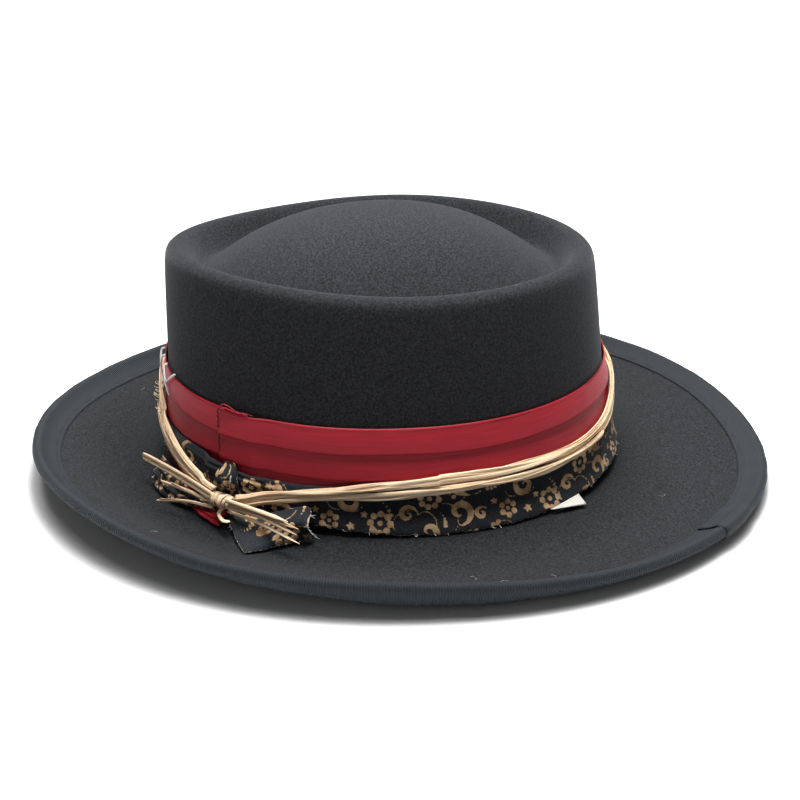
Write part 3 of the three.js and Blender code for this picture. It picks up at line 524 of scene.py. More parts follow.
# Millimetres: the tape's reach back from the edge, how high it stands off the felt, how much it
# swells towards the edge, and how far the lapping end lies over the other
TAPE_WIDTH, TAPE_STAND, TAPE_SWELL, LAP_STEP = 10.2, 0.55, 0.5, 0.95
angles = np.arange(TAPE_JOIN, TAPE_JOIN + 360 + TAPE_LAP, 0.8)[:, None]
from_start = angles - TAPE_JOIN
lap = 1 - smooth((from_start - TAPE_LAP - 0.8) / 3.2)
section = [(TAPE_WIDTH + 0.1, 0.2)]
for back in (10.1, 9.6, 8.8, 7.6, 6.2, 4.6, 3, 1.4, 0):
    swollen = math.sin(math.pi * min((TAPE_WIDTH - back) / 9, 0.5)) ** 0.6
    section.append((back, TAPE_STAND + TAPE_SWELL * swollen))
upper_face = section[::-1]
turn_radius = FELT_WALL / 2 + TAPE_STAND + TAPE_SWELL
for turned in np.linspace(0, math.pi, 9)[1:-1]:
    beyond, rise = turn_radius * math.sin(turned), turn_radius * math.cos(turned)
    section.append((-beyond, rise - FELT_WALL / 2))
section += [(back, -FELT_WALL - over) for back, over in upper_face]
back, over = np.array(section).T[:, None]
side = np.sign(over + FELT_WALL / 2)
puff = 0.16 * wander(angles, 2.5, 3) * np.clip((10 - back) / 4, 0, 1)
clear = side * (LAP_STEP * lap + puff) * np.where(back < 0, 0.0, 1.0)
outward = np.where(back < 0, (LAP_STEP * lap + puff) * -back / turn_radius, 0)
tape_spots = edge_spots(angles, back - outward, over + clear)
seam_line = np.exp(-((back - 8.4) / 0.5) ** 2)
stitch = 0.55 + 0.45 * np.sin(from_start * 2 * math.pi / 0.95)
brim_tape = cloth(
    "brim_tape", [tape_spots], tape_material, thickness=0.7, seam=[seam_line * stitch])
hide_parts("brim_binding")

# %% [markdown]
# ## The satin band
#
# The band is one length of satin folded into three pleats that lap downwards, like a
# cummerbund. Its section is drawn once, with a Z-fold under each pleat, and carried round the
# crown. The end on top is turned under at the front left, where a dark thread holds it down.

# %% Satin material
satin_material, tree = new_material("red_satin", 0.5, 0.1, srgb(235, 90, 105))
streaks = put_group(tree, streaks_group, "UV", Grains=(60, 900, 1), Detail=4.0)["Grain"]
satin_colour = colour_ramp(tree, streaks, srgb(146, 21, 34), srgb(165, 28, 43), 0.3, 0.7)
twill = put_group(tree, ribs_group, "UV", Spacing=0.0006)["Height"]
satin_height = math_node(tree, "ADD", streaks, math_node(tree, "MULTIPLY", twill, 0.25))
paint(tree, satin_colour, satin_height, 0.00008, 0.4)

# %% Satin band
BAND_SEAM, BAND_LAP, PLEAT = 38.4, 8.4, 11.2
# Down from the pleat's start as a share of its depth, out from the crown in millimetres, and how
# far the row moves with the pleat's own wander
PLEAT_SECTION = [
    (0.0, 0.25, 0), (0.1, 0.34, 0), (0.22, 0.58, 0), (0.36, 0.92, 0), (0.52, 1.2, 0),
    (0.68, 1.42, 0.3), (0.82, 1.6, 0.7), (0.92, 1.72, 1), (0.97, 1.74, 1), (1.0, 1.55, 1),
    (0.985, 1.34, 1), (0.93, 1.22, 1), (0.84, 1.05, 0.5), (0.78, 0.75, 0), (0.8, 0.4, 0),
]
# The end on top is turned under: degrees from the seam, and how much nearer the crown it lies
TURNED_UNDER = [(0.75, -0.85), (0.15, -0.75), (0, -0.4), (0.15, -0.08), (0.5, 0)]
BAND_STAND, BAND_LAP_STEP = 0.42, 1.75
run = np.arange(1.2, 360 + BAND_LAP, 0.9)
angles = BAND_SEAM + np.concatenate([[turn for turn, nearer in TURNED_UNDER], run])[:, None]
tuck = np.concatenate([[nearer for turn, nearer in TURNED_UNDER], 0 * run])[:, None]
lap = 1 - smooth((angles - BAND_SEAM - BAND_LAP - 0.8) / 5.2)
band_top = BAND_TOP - BAND_TILT * np.sin(np.radians(angles))
columns = [(rim_out, band_top - drop) for rim_out, drop in ((0.3, 1.6), (0.38, 0.3), (0.6, 0))]
for pleat in range(3):
    sag = 0.55 * wander(angles, 22, 10 + pleat)
    belly = 0.16 * wander(angles, 9, 20 + pleat) + 0.06 * wander(angles, 3.2, 30 + pleat)
    for share, out, moves in PLEAT_SECTION if pleat > 0 else PLEAT_SECTION[1:]:
        down = band_top - PLEAT * (pleat + share) + sag * moves
        columns.append((out + belly * math.sin(math.pi * min(share, 1)), down))
columns += [(0.75, down) for down in (14, 11.5, 9, 6.4)]
out = np.concatenate([out + 0 * lap for out, down in columns], axis=1)
height = np.concatenate([down + 0 * lap for out, down in columns], axis=1)
out = BAND_STAND + out + tuck + BAND_LAP_STEP * lap
pulled = np.exp(-((angles - BAND_SEAM) / 5) ** 2) * 0.25 * np.sin(height * 1.3)
band_spots = on_wall(angles, out + pulled, height)
satin_band = cloth("satin_band", [band_spots], satin_material, thickness=0.4)
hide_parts("red_hatband")

# %% [markdown]
# ## The printed cotton
#
# The print is charted as small motifs: flowers, comma scrolls, trumpets on stems, stars
# and rows of dots, in a repeat 76 mm long. For each vertex of the cloth the distance to the
# nearest motif is worked out, and the material paints where that distance is below zero, which
# keeps the edges of the print sharp however near the camera comes.

# %% Motifs and the distance to them, in millimetres
REPEAT = 76.0
MOTIFS = [
    ("flower", 7, 8, 5.6, 0.2), ("scroll", 19.5, 15.5, 5.8, 0.5), ("trumpet", 29, 7, 10, 2.6),
    ("flower", 41, 17, 4.4, 0.6), ("dots", 31, 21, 9, 0.3), ("scroll", 50, 8, 5.6, 3.6),
    ("flower", 62, 18, 5.8, 0.1), ("star", 15, 5, 2.1, 0), ("star", 50, 19, 2.0, 0.5),
    ("dots", 62, 8, 8, 0.5), ("dots", 54, 26, 9, 1.2), ("scroll", 5.5, 22.5, 5.2, 2.0),
    ("flower", 24, 28, 5.2, 0.4), ("trumpet", 38, 32, 9, 3.5), ("dots", 11.5, 15, 6, 0.9),
    ("scroll", 73.5, 14.5, 4.0, 5.0), ("star", 35, 12.5, 1.8, 0.3), ("star", 71, 25, 2.1, 0.7),
    ("scroll", 46, 33, 5.0, 1.4), ("flower", 9, 34, 4.4, 0.5), ("trumpet", 58, 35, 8, 0.2),
    ("dots", 39, 4.5, 7, 2.4), ("star", 55.5, 14, 1.8, 0.2), ("flower", 73, 35, 4.6, 0.9),
    ("scroll", 29, 17, 3.0, 4.2), ("star", 14, 27, 1.8, 0.1), ("vine", 12, 11, 13, 6.0),
    ("vine", 33, 24, 12, 5.2), ("vine", 55, 10, 11, 1.9), ("vine", 68, 21, 11, 4.0),
    ("vine", 45, 12, 9, 2.8), ("vine", 21, 3, 9, 0.4), ("vine", 2, 15, 9, 5.4),
]
print("motifs in a repeat:", len(MOTIFS))


def wrapped(distance):
    return (distance + REPEAT / 2) % REPEAT - REPEAT / 2


def discs(x, y, spots):
    nearest = np.full(x.shape, 99.0)
    for spot_x, spot_y, radius in spots:
        nearest = np.minimum(nearest, np.hypot(wrapped(x - spot_x), y - spot_y) - radius)
    return nearest


def disc_at(spot_x, spot_y, reach, angle, radius):
    return spot_x + reach * math.cos(angle), spot_y + reach * math.sin(angle), radius


def flower(x, y, spot_x, spot_y, size, turn):
    """Round petals about a dot: eight on a large flower and six on a small one."""
    petals, petal = (8, 0.245) if size > 4.5 else (6, 0.3)
    spots = [(spot_x, spot_y, 0.2 * size)]
    for number in range(petals):
        angle = turn + 2 * math.pi * number / petals
        spots.append(disc_at(spot_x, spot_y, 0.7 * size, angle, petal * size))
    return discs(x, y, spots)


def motif(kind, x, y, spot_x, spot_y, size, turn):
    if kind == "flower":
        return flower(x, y, spot_x, spot_y, size, turn)
    if kind == "star":
        across, up = wrapped(x - spot_x), y - spot_y
        angle = np.arctan2(up, across) + turn
        return np.hypot(across, up) - size * (0.7 + 0.3 * np.cos(5 * angle))
    spots = []
    for share in np.linspace(0, 1, 34):
        if kind == "scroll":
            reach, angle = size * (0.12 + 0.88 * share), turn + 7.6 * share
            radius = 0.3 + 0.21 * size * math.sin(math.pi * share ** 1.6)
        elif kind == "trumpet":
            reach, angle = size * share, turn + 0.7 * share
            radius = 0.3 + 4.2 * max(0, share - 0.5) ** 1.3
        elif kind == "vine":
            reach, angle = size * share, turn + 1.5 * share
            radius = 0.27
        else:
            reach, angle = size * round(share * 4) / 4, turn + 0.5 * share
            radius = 0.3 + 0.45 * round(share * 4) / 4
        spots.append(disc_at(spot_x, spot_y, reach, angle, radius))
    if kind == "trumpet":
        for lobe in (-0.42, 0, 0.42):
            spots.append(disc_at(spot_x, spot_y, size * 1.18, turn + 0.7 + lobe * 0.6, 1.0))
    return discs(x, y, spots)


def motif_distance(along, across):
    nearest = np.full(along.shape, 99.0)
    for kind, spot_x, spot_y, size, turn in MOTIFS:
        nearest = np.minimum(nearest, motif(kind, along, across, spot_x, spot_y, size, turn))
    return np.clip(nearest, -3, 3)


# %% Printed cotton: its thickness in millimetres and its material
COTTON = 0.5
print_material, tree = new_material("printed_cotton", 0.85, 0.12, srgb(200, 200, 200))
grain = put_group(tree, speckle_group, "Object", Fine_Scale=1400.0, Coarse_Scale=160.0)
ragged = math_node(tree, "MULTIPLY", math_node(tree, "SUBTRACT", grain["Fine"], 0.5), 0.7)
to_motif = math_node(tree, "ADD", read_attribute(tree, "motif"), ragged)
inked = math_node(tree, "LESS_THAN", to_motif, 0.0)
tan = colour_ramp(tree, grain["Coarse"], srgb(150, 114, 80), srgb(222, 188, 144), 0.35, 0.66)
ground = colour_ramp(tree, grain["Fine"], srgb(24, 26, 30), srgb(46, 48, 54), 0.35, 0.68)
printed = mix_colours(tree, inked, ground, tan)
fray = math_node(tree, "MULTIPLY", ragged, 2.2)
to_edge = math_node(tree, "ADD", read_attribute(tree, "raw_edge"), fray)
frayed = math_node(tree, "LESS_THAN", to_edge, 0.16)
weave = put_group(tree, ribs_group, "UV", Spacing=0.0005)["Height"]
paint(tree, mix_colours(tree, frayed, printed, srgb(214, 208, 200)),
      math_node(tree, "ADD", weave, grain["Fine"]), 0.00015, 0.5)


def printed_cloth(name, spots, start, raw_edge):
    """Cotton with the print on it: start is where in the repeat it was cut, in millimetres."""
    along, across = cloth_map(spots)
    near = motif_distance(along * 1000 + start[0], across * 1000 + start[1])
    piece = cloth(name, [spots], print_material, COTTON, motif=[near], raw_edge=[raw_edge])
    return piece


# %% Printed strip round the crown
# Angle, then top and foot in millimetres, fold and flare in millimetres
PRINT_SECTIONS = [
    (0, 27, 12.5, 0.24, 0.24), (28, 28.25, 13, 0.8, 0.24), (54, 24.5, 9, 0.8, 0.96),
    (72, 25, 5.5, 0.32, 1.92), (97, 25.5, 3, 0.16, 2.4), (124, 25, 3.75, 0.08, 2.4),
    (147, 24.75, 6.5, 0.16, 2.16), (180, 25, 7.5, 0.24, 1.44), (240, 25.5, 6, 0.24, 1.2),
    (300, 26.25, 7, 0.24, 0.96),
]


def band_face(angle):
    """Distance of the satin's face from the wall, which is more where its ends lap."""
    turned = angle - 360 * np.floor((angle - BAND_SEAM + 6) / 360)
    start = smooth((turned - BAND_SEAM + 6) / 3.4)
    return 1.95 + 1.95 * start * (1 - smooth((turned - BAND_SEAM - BAND_LAP - 0.8) / 5.2))


def print_limits(angle):
    top = through(PRINT_SECTIONS, 1, angle, 360) - BAND_TILT / 2 * np.sin(np.radians(angle))
    return top, through(PRINT_SECTIONS, 2, angle, 360)


def print_face(angle, share):
    """Distance of the strip's middle from the wall, at a share of the way down from its top."""
    flare = through(PRINT_SECTIONS, 4, angle, 360)
    waves = [(0, 0.0), (0.2, 1.0), (0.42, 0.2), (0.66, 0.9), (1, 0.0)]
    folded = through(PRINT_SECTIONS, 3, angle, 360) * through(waves, 1, share)
    return band_face(angle) + 0.8 + folded + flare * smooth((share - 0.6) / 0.4)


angles = np.arange(KNOT_AT + 1.7, KNOT_AT + 358.3, 0.45)[:, None]
share = np.linspace(0, 1, 36)[None, :]
top, foot = print_limits(angles)
from_knot = np.minimum(angles - KNOT_AT, KNOT_AT + 360 - angles)
gathers = np.sin(share * 2 * math.pi * 6 + 0.5 * wander(angles, 3, 41))
gather = 0.42 * np.exp(-((from_knot - 3) / 9) ** 2) * gathers
crumple = 0.3 * wander(angles + 6 * share, 5, 42) * np.sin(math.pi * share)
crumple = crumple + 0.18 * wander(angles - 14 * share, 2.2, 43)
rolled = np.where(share < 0.05, -0.5 * (1 - share / 0.05), 0)
ragged_foot = 0.5 * wander(angles, 0.8, 44) * smooth((share - 0.9) / 0.1)
strip_spots = on_wall(
    angles, print_face(angles, share) + gather + crumple - 0.15 + rolled,
    top + (foot - top) * share + ragged_foot)
print_strip = printed_cloth("print_strip", strip_spots, (0, 2), (1 - share) * (top - foot))
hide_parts("printed_band")

# %% Corner of the strip, turned up to show its white inside
along = np.linspace(0, 1, 14)[:, None]
down = np.linspace(0, 1, 7)[None, :] * (0.4 + 5.6 * along)
corner_at = 128.3 + 9.6 * along - 0.4 * down / 6
foot = print_limits(corner_at)[1]
corner_spots = on_wall(
    corner_at, print_face(corner_at, 1.0) + 0.5 + 0.72 * down,
    foot + 0.5 - 0.55 * down + 0.25 * np.sin(3 * along))
far = np.full(corner_spots.shape[:2], 9.0)
print_corner = cloth(
    "print_corner", [corner_spots], print_material, COTTON, motif=[far], raw_edge=[-far])

# %% [markdown]
# ## The knot and the tails of cloth
#
# Both ends of the printed strip run into a knot at the front left. The knot is a turn of cloth
# pulled tight, so it is a tube with pleats that run from top to foot and a narrow waist. Its two
# tails, and the folded end of the satin under them, lie on the brim. Each tail is a short table:
# its low edge on the brim, its high edge by the wall, and how far it bulges between them.

# %% Printed knot
KNOT_BREADTH, KNOT_DEPTH = 9.0, 7.0
# Height as a share of the strip's top, then breadth and depth as shares of the knot's own
KNOT_SECTIONS = [
    (0, 1.12, 0.4, 0.4), (1, 1.02, 0.8, 0.8), (2, 0.86, 1.0, 1.0), (3, 0.74, 0.92, 0.78),
    (4, 0.66, 0.66, 0.43), (5, 0.45, 0.6, 0.4), (6, 0.36, 0.5, 0.35),
]
KNOT_HALF = math.degrees(KNOT_BREADTH / 2 / float(wall_radius(KNOT_AT, PRINT_TOP)))
around = np.linspace(0, 2 * math.pi, 109)[:, None] - math.pi / 2
level = np.linspace(0, 6, 40)[None, :]
pleats = 0.86 + 0.13 * np.cos(9 * around + 0.5 * level) + 0.05 * np.cos(17 * around - level)
breadth = through(KNOT_SECTIONS, 2, level) * pleats
depth = through(KNOT_SECTIONS, 3, level)
knot_spots = on_wall(
    KNOT_AT + KNOT_HALF * breadth * np.cos(around),
    float(band_face(KNOT_AT)) + 0.35 + KNOT_DEPTH / 2 * depth * (1 + pleats * np.sin(around)),
    PRINT_TOP * through(KNOT_SECTIONS, 1, level) + 0.5 * np.cos(9 * around) * (level < 0.3))
# The white inside of the cloth shows along one fold, so this is the distance from that fold
white_fold = 4 * np.abs(around - 0.45 - 0.12 * level)
white_fold = white_fold + 6 * smooth((level - 3.4) / 0.8) + 6 * smooth((1.2 - level) / 0.6)
print_knot = printed_cloth("print_knot", knot_spots, (30, 6), white_fold)
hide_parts("printed_knot")

# %% Tails of cloth
# Row number, then angle, out and height of the low edge, the same three of the high edge, bulge
BACK_TAIL = [
    (0, 43.1, 9.1, 5.8, 43.1, 7.35, 8.6, 0), (1, 47.8, 15.4, 4.3, 47.5, 9.6, 8.9, 0),
    (2, 53.4, 24.5, 3.5, 53, 8.6, 10.6, -0.7), (3, 58, 16.2, 3.5, 58.5, 8.1, 14.0, 1.7),
    (4, 63, 9.8, 3.8, 63, 7.6, 16.5, 3.7), (5, 65.4, 8.1, 4.5, 64.6, 7.6, 15.7, 2.0),
]
FRONT_TAIL = [
    (0, 39, 8.5, 6.7, 39, 6.1, 8.6, 0), (1, 33, 9.8, 5.5, 33, 8.5, 9.6, 0.26),
    (2, 26.5, 12.0, 3.6, 25.5, 7.3, 11.3, 0.8), (3, 20, 13.0, 3.6, 18, 6.0, 12.0, 1.0),
    (4, 15.5, 12.5, 4.1, 12.5, 5.5, 11.0, 0.5),
]
RED_TAIL = [
    (0, 24, 5.3, 3.5, 24, 3.7, 5.5, 0), (1, 30, 8.0, 3.5, 30, 4.0, 6.0, 0.4),
    (2, 36, 11.0, 3.5, 36, 4.7, 5.5, 0.27), (3, 42.5, 13.3, 3.7, 41.5, 6.0, 4.8, 0),
]


def tail_spots(table, rows, columns, crease, turns, phase=0.0, curl=0.0):
    """A tail's spots: crease is how deep its folds are, in millimetres, turns how many it has."""
    row = np.linspace(0, table[-1][0], rows)[:, None]
    share = np.linspace(0, 1, columns)[None, :]
    row_numbers = [line[0] for line in table]
    low_at, low_out, low_height = (
        np.interp(row, row_numbers, [line[column] for line in table]) for column in (1, 2, 3))
    high_at, high_out, high_height, bulge = (through(table, column, row) for column in (4, 5, 6, 7))
    out = low_out + (high_out - low_out) * share + bulge * np.sin(math.pi * share)
    fall = CROWN_STAND * np.clip((low_out - 3) / 16.5, 0, 1) * (1 - share)
    height = low_height + (high_height - low_height) * share - fall
    folds = crease * np.sin(share * 2 * math.pi * turns + phase + 0.5 * wander(row * 8, 6, 61)) * (
        np.sin(math.pi * np.clip(share, 0.04, 0.96)) ** 0.5)
    crumple = 0.25 * wander(row * 9 + share * 5, 2.4, 62)
    rolled = smooth((row / table[-1][0] - 0.8) / 0.2) * curl
    crumple = crumple + rolled * np.sin(math.pi * np.clip(share * 1.1, 0, 1)) ** 2
    return on_wall(
        low_at + (high_at - low_at) * share, out + folds + crumple, height + np.abs(folds) * 0.4)


def edge_near(spots):
    """Distance in millimetres from the cut edges of a tail: its low edge and its far end."""
    along, across = cloth_map(spots)
    return np.minimum(np.minimum(across, along.max() - along) * 1000, 9.0)


back_spots = tail_spots(BACK_TAIL, 76, 44, 0.6, 1.6, 0.6, 3.2)
print_tail_back = printed_cloth("print_tail_back", back_spots, (50, 3), edge_near(back_spots))
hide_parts("printed_tail_back")
front_spots = tail_spots(FRONT_TAIL, 76, 30, 0.75, 3.2)
print_tail_front = printed_cloth("print_tail_front", front_spots, (2, 16), edge_near(front_spots))
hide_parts("printed_tail_front")
red_spots = tail_spots(RED_TAIL, 60, 36, 0.7, 3.5)
satin_tail = cloth("satin_tail", [red_spots], satin_material, thickness=0.45)
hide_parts("red_tail")

# %% [markdown]
# ## The raffia
#
# Raffia is torn leaf, so a strand of it is not a cord: it is a handful of flat ribbons that lie
# side by side, cross and turn on edge. Each ribbon here follows the strand's route with its own
# slow wander, and carries a number for its tone, from tan to cream, that the material reads.

# %% Raffia material: streaks along each ribbon
raffia_material, tree = new_material("raffia", 0.55, 0.1, srgb(255, 240, 210))
streaks = put_group(tree, streaks_group, "UV", Grains=(45, 3200, 1), Detail=3.0)["Grain"]
own_tone = math_node(tree, "MULTIPLY", read_attribute(tree, "tone"), 0.42)
raffia_tone = math_node(tree, "ADD", math_node(tree, "MULTIPLY", streaks, 0.8), own_tone)
raffia_colour = colour_ramp(tree, math_node(tree, "SUBTRACT", raffia_tone, 0.08),
                            srgb(146, 96, 56), srgb(246, 218, 182), 0.2, 0.66)
paint(tree, raffia_colour, streaks, 0.00025, 0.7)


def raffia(name, ribbons):
    """One piece from many ribbons, each given as its spots and its tone."""
    strips = [spots for spots, tone in ribbons]
    tones = [np.full(spots.shape[:2], tone) for spots, tone in ribbons]
    piece = cloth(name, strips, raffia_material, thickness=0.28, tone=tones)
    return piece


# %% Raffia strands
# Angle, height in millimetres, size, and how far the strand stands off the cloth, in millimetres
UPPER_ROUTE = [
    (45.4, 14.6, 0.6, 1.44), (53, 18.2, 0.6, 0.72), (66, 22.2, 0.55, 0), (87, 25.9, 0.7, 0),
    (112, 27.5, 0.9, 0), (132, 26.9, 0.85, 0), (146, 27.8, 0.85, 0), (158, 31, 0.9, 0),
    (170, 38.4, 1, 0), (190, 42.2, 1, 0), (225, 40.4, 1, 0), (280, 37.9, 1, 0), (345, 38.9, 1, 0),
    (362, 38.1, 1, 0), (374.5, 27.5, 1, 0), (388.6, 18.4, 0.8, 0.48), (399.8, 14.6, 0.6, 1.2),
]
LOWER_ROUTE = [
    (45.4, 11.7, 0.55, 1.44), (53, 15.3, 0.55, 0.72), (66, 19.6, 0.5, 0), (87, 21.6, 0.8, 0),
    (108, 22.9, 0.8, 0), (132, 23.1, 0.7, 0), (146, 24.8, 0.45, 0), (158, 28, 0.4, 0),
    (170, 34.5, 0.6, 0), (190, 36.6, 0.85, 0), (225, 34.3, 0.85, 0), (280, 32.3, 0.85, 0),
    (345, 32.8, 0.85, 0), (362, 31.3, 0.85, 0), (374.5, 22.2, 0.85, 0), (388.6, 14.4, 0.75, 0.48),
    (399.8, 11.5, 0.55, 1.2),
]


def cloth_face(angle, height, half):
    """Distance from the wall of the outermost cloth near a height."""
    top, foot = print_limits(angle)
    most = band_face(angle) + 0.35
    for level in (-1.0, -0.5, 0, 0.5, 1.0):
        share = (top - height - level * (half + 1)) / (top - foot)
        outer = print_face(angle, np.clip(share, 0, 1)) + 0.5
        most = np.where((share >= 0) & (share <= 1), np.maximum(most, outer), most)
    return most


def strand(name, route, count, seed):
    rng = np.random.default_rng(seed)
    ribbons = []
    for number in range(count):
        angles = np.arange(route[0][0], route[-1][0], 0.8)
        size = through(route, 2, angles)
        middle = through(route, 1, angles)
        half = 2.1 * size
        face = cloth_face(angles, middle, half) + through(route, 3, angles)
        breadth = rng.uniform(2.0, 2.8) if number % 3 == 0 else rng.uniform(0.7, 1.4)
        width = breadth * (0.7 + 0.3 * size)
        waving = np.clip(1.7 * wander(angles + 97 * number, 19, seed + number), -1.15, 1.15)
        offset = waving * (half - 0.35 * width)
        layer = 0.4 + 1.7 * number / count + 0.3 * wander(angles, 11, seed + 40 + number)
        tilt = 0.75 * wander(angles, 13, seed + 80 + number)
        path = on_wall(angles, face + layer, middle + offset)
        outward = on_wall(angles, face + layer + 1, middle + offset) - path
        spots = ribbon(path, outward, width / 1000, tilt, 0.14)
        ribbons.append((spots, rng.uniform(0.2, 1)))
    return raffia(name, ribbons)


upper_raffia = strand("upper_raffia", UPPER_ROUTE, 10, 300)
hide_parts("raffia_upper_strand")
lower_raffia = strand("lower_raffia", LOWER_ROUTE, 8, 500)
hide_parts("raffia_lower_strand")

# %% Raffia knot
RAFFIA_OUT, RAFFIA_HEIGHT, RAFFIA_BREADTH = 10.9, 13.2, 9.0
raffia_radius = float(wall_radius(KNOT_AT, RAFFIA_HEIGHT)) + RAFFIA_OUT
RAFFIA_HALF = math.degrees(RAFFIA_BREADTH / 2 / raffia_radius)


def knot_spots_at(along, reach, around):
    """Spots on the knot: along its axis from -1 to 1, then a radius and an angle round it."""
    return on_wall(
        KNOT_AT + RAFFIA_HALF * along, RAFFIA_OUT + reach * np.cos(around),
        RAFFIA_HEIGHT + reach * np.sin(around))


def knot_ribbon(along, reach, around, width, tilt):
    path = knot_spots_at(along, reach, around)
    return ribbon(path, knot_spots_at(along, reach + 1, around) - path, width, tilt, 0.1)


# Eight ribbons wind round the knot, over seven that pass through it
ribbons = []
knot_random = np.random.default_rng(77)
for number in range(8):
    around = np.linspace(0, 2 * math.pi, 31) + knot_random.uniform(0, 6)
    along = -0.85 + 1.7 * number / 7 + 0.16 * np.sin(around + number)
    reach = 2.65 + 0.3 * (number % 2) - 0.5 * (abs(number - 3.5) > 3)
    wound = knot_ribbon(along, reach, around, 0.0019, 0.12)
    ribbons.append((wound, knot_random.uniform(0.2, 0.9)))
for number in range(7):
    along = np.linspace(-1.25, 1.25, 14)
    turned = number * 0.9 + 0.3 * along
    passing = knot_ribbon(along, 1.75 + 0.25 * (number % 2), turned, 0.0017, 0.1)
    ribbons.append((passing, knot_random.uniform(0.2, 1)))
raffia_wrap = raffia("raffia_wrap", ribbons)
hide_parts("raffia_knot")

# %% Cut ends of the raffia
# Side, out and height where it leaves the knot, angle, out and height of its tip, arch, in
# millimetres, then how many ribbons it has, their width and how they end
RAFFIA_ENDS = [
    (-1, 12.7, 14.9, 12.9, 14.2, 12.1, 0.6, 0, 1.9, "loop"),
    (-1, 12.1, 11.9, 23.4, 12.7, 9.0, 0.6, 2, 1.5, "cut"),
    (-1, 11.7, 9.4, 27, 18.7, 5.3, 0.6, 2, 1.3, "cut"),
    (1, 12.7, 14.4, 63.4, 19.5, 13.5, 1, 3, 1.7, "split"),
    (1, 12.7, 12.4, 63, 19.9, 11.4, 1, 2, 1.5, "split"),
    (1, 12.1, 9.9, 63.8, 21.2, 7.7, 1, 1, 1.3, "split"),
]


def tail_ribbon(spots, width, taper, turn):
    """A cut end of leaf, which narrows from a share of its length, the taper, to a point."""
    share = np.linspace(0, 1, 26)
    outward = [math.sin(math.radians(KNOT_AT)), -math.cos(math.radians(KNOT_AT)), 0.35]
    narrow = 1 - 0.9 * smooth((share - taper) / (1.02 - taper))
    path = bend_path(spots, len(share))
    return ribbon(path, outward, width / 1000 * narrow, turn + 0.6 * share, 0.16)


ribbons = []
end_random = np.random.default_rng(5)
for side, from_out, from_height, at, to_out, to_height, arch, count, width, ending in RAFFIA_ENDS:
    leave = KNOT_AT + side * RAFFIA_HALF * 0.85
    start = on_wall(leave, from_out, from_height)
    tip = on_wall(at, to_out, to_height)
    middle = (start + tip) / 2 + np.array([0, 0, arch / 1000])
    lift = np.array([0, 0, 0.0011])
    if ending == "loop":
        ahead = (tip - start) / np.linalg.norm(tip - start)
        spots = [start + lift, middle + lift * 1.1, tip + lift * 0.8, tip + ahead * 0.0009,
                 tip - lift * 0.8, middle - lift * 0.9, start - lift]
        loop = ribbon(bend_path(spots, 60), [0.55, -0.7, 0.45], 0.0018, 0.2, 0.2)
        ribbons.append((loop, 0.6))
        ribbons.append((tail_ribbon([start, middle, tip - ahead * 0.006], 1.6, 0.8, 0.3), 0.95))
        continue
    for number in range(count):
        offset = (number - (count - 1) / 2) * width * 0.55 / 1000
        spread = [0.5 * end_random.uniform(-1, 1), 0.3 * end_random.uniform(-1, 1), 1]
        aside = np.array(spread) * offset
        sway = np.array([0, 0, end_random.uniform(-0.0008, 0.0008)])
        reach = 1.06 - 0.22 * end_random.random() * (number > 0)
        end = start + (tip - start) * reach + aside * 0.9 - sway
        spots = [start + aside, middle + aside + sway, end]
        taper = 0.97 if ending == "cut" else 0.78
        narrower = width * (1 if number % 2 == 0 else 0.5)
        turn = end_random.uniform(-0.4, 0.3)
        ribbons.append((tail_ribbon(spots, narrower, taper, turn), end_random.uniform(0.2, 1)))
hook = [knot_spots_at(0.3, 2.2, -1.2), on_wall(42.8, 13.4, 8.2), on_wall(44.6, 15.0, 6.6),
        on_wall(46.8, 15.6, 7.4)]
ribbons.append((tail_ribbon(hook, 1.5, 0.9, 0.3), 0.9))
raffia_ends = raffia("raffia_ends", ribbons)
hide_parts(*[f"raffia_tail_{number}" for number in range(1, 7)])

# %% [markdown]
# ## Stitches and loose threads
#
# Hand work leaves marks: white cross stitches at the front, a scalloped thread along the satin's
# seam, and frayed threads wherever cotton or raffia was cut. They are thin round curves, because
# at this size a thread's bends matter more than its section.

# %% Thread materials
def thread_material(name, colour, paler):
    material, tree = new_material(name, 0.8)
    grain = put_group(tree, speckle_group, "Object", Fine_Scale=2200.0, Coarse_Scale=300.0)
    paint(tree, mix_colours(tree, grain["Fine"], colour, paler))
    return material


white_thread = thread_material("white_thread", srgb(205, 202, 200), srgb(250, 248, 246))
red_thread = thread_material("red_thread", srgb(128, 30, 40), srgb(176, 60, 72))
dark_thread = thread_material("dark_thread", srgb(50, 12, 18), srgb(88, 24, 32))
straw_thread = thread_material("straw_thread", srgb(196, 160, 114), srgb(240, 222, 190))
grey_fibre = thread_material("grey_fibre", srgb(110, 110, 114), srgb(160, 160, 164))


def wall_path(spots, steps=14):
    """A path through spots given as angle, out and height."""
    return bend_path([on_wall(*spot) for spot in spots], steps)


# %% Stitches
CROSSES = [
    ((0.6, 53.2), (5.6, 41.2)), ((5.8, 53.6), (1.0, 41.0)),
    ((10.1, 52.4), (14.1, 41.1)), ((17.5, 52.6), (3.3, 35.0)),
]
arms = [
    wall_path([
        (at_a, 1.1, height_a + 0.6), (at_a, 2.5, height_a),
        ((at_a + at_b) / 2, 3.1, (height_a + height_b) / 2),
        (at_b, 2.6, height_b), (at_b, 1.6, height_b - 0.5)])
    for (at_a, height_a), (at_b, height_b) in CROSSES
]
stitches = threads("cross_stitches", arms, 1.05, white_thread)
SCALLOPS = 11
down = np.linspace(0, 1, 90)
seam_path = on_wall(
    BAND_SEAM - 0.12 + 0.18 * np.sin(down * 2 * math.pi * SCALLOPS),
    3.35 + 0.3 * np.abs(np.sin(down * math.pi * SCALLOPS)), 50.6 - 24 * down)
seam_stitches = threads("seam_stitches", [seam_path], 0.5, dark_thread)
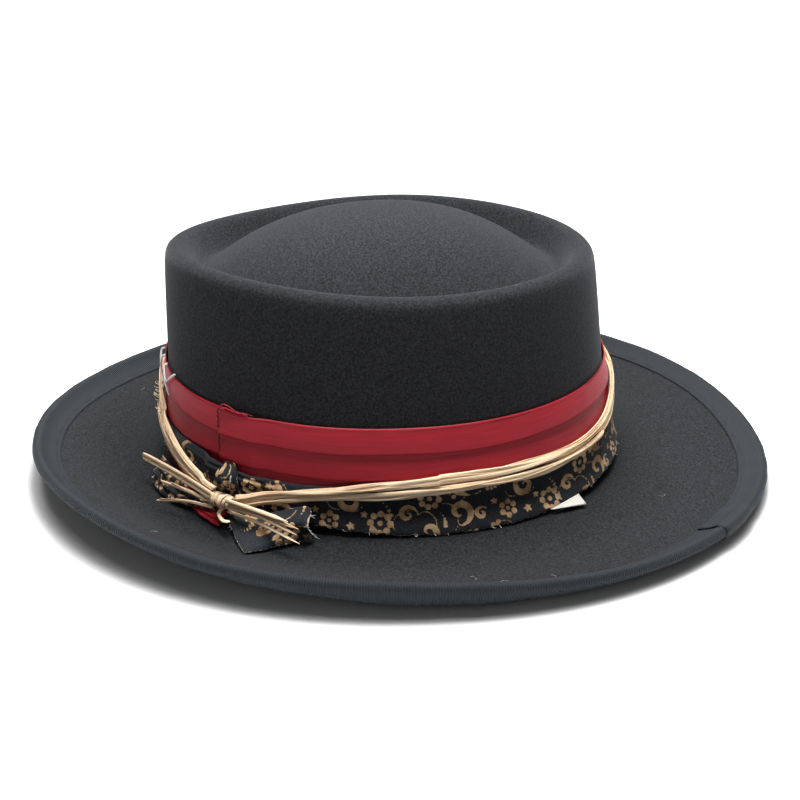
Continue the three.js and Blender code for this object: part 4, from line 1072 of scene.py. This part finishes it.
loose_red = threads("loose_red_threads", [
    wall_path([(38.3, 2.9, 49.9), (39.7, 3.2, 52.9), (42.0, 3.1, 52.5), (44.1, 2.8, 50.5),
               (45.7, 3.0, 51.3), (48.3, 2.6, 50.9)], 30),
    wall_path([(38.5, 3.0, 49.7), (40.1, 3.6, 51.7), (42.1, 3.4, 51.5), (43.3, 3.0, 50.2)], 20),
], 0.5, red_thread)

# %% Frayed threads
fray_random = np.random.default_rng(9)


def random_reach(*limits):
    """A short way in metres, drawn between limits in millimetres for each axis."""
    return np.array([fray_random.uniform(*pair) for pair in limits]) / 1000


paths = []
for at in fray_random.uniform(70, 395, 46):
    foot = float(print_limits(at)[1])
    out = float(print_face(at, 1.0))
    length = fray_random.uniform(0.2, 0.9)
    lean = fray_random.uniform(-0.9, 0.9)
    paths.append(wall_path([
        (at, out, foot + 0.3), (at + 0.4 * lean, out + 0.4, foot - 0.4 * length),
        (at + lean, out + 0.7 + 0.3 * length, max(foot - 0.8 * length, 1.2))], 6))
for row in fray_random.integers(0, 75, 16):
    spot = back_spots[row, 0] * 0.5 + back_spots[row, 1] * 0.5
    reach = random_reach((0.2, 1.2), (-0.8, 0.8), (-0.1, 0.4))
    paths.append(bend_path([spot, spot + reach * 0.5, spot + reach * 1.3], 5))
for column in fray_random.integers(0, 43, 6):
    spot = back_spots[-1, column]
    reach = random_reach((0, 1.4), (0.4, 2.6), (-1.6, 0.6))
    bent = spot + reach * 0.5 + np.array([0.0004, 0, 0.0002])
    paths.append(bend_path([spot, bent, spot + reach], 6))
frayed_cotton = threads("frayed_cotton", paths, 0.17, white_thread)

# %% Curls of raffia and hairs on the felt
curls = []
for number in range(14):
    at = fray_random.uniform(-1, 14)
    height = float(through(UPPER_ROUTE, 1, 360 + at)) + fray_random.uniform(-2.5, 1.5)
    size = fray_random.uniform(0.6, 1.3)
    turn = np.linspace(0, fray_random.uniform(2.5, 6), 14) + fray_random.uniform(0, 6)
    curls.append(on_wall(
        at + size * 0.6 * np.cos(turn), 4.4 + size * (1 + np.sin(turn)),
        height + size * np.cos(turn * 0.8)))
raffia_curls = threads("raffia_curls", curls, 0.36, straw_thread)

hairs = []
for at, out in ((99, 38), (104, 45), (112, 47), (40, 42), (152, 30), (250, 36), (330, 40)):
    turn = np.linspace(0, 2.6, 9) + at
    spot = on_wall(at + 0.9 * np.cos(turn), out + 1.6 * np.sin(turn), FELT_WALL + 0.4)
    level = through(BRIM_EDGE, 2, at, 360) * smooth(((out - 3) / 44 - 0.55) / 0.45) - CROWN_STAND
    spot[:, 2] += float(level) / 1000
    hairs.append(spot)
felt_hairs = threads("felt_hairs", hairs, 0.14, grey_fibre)
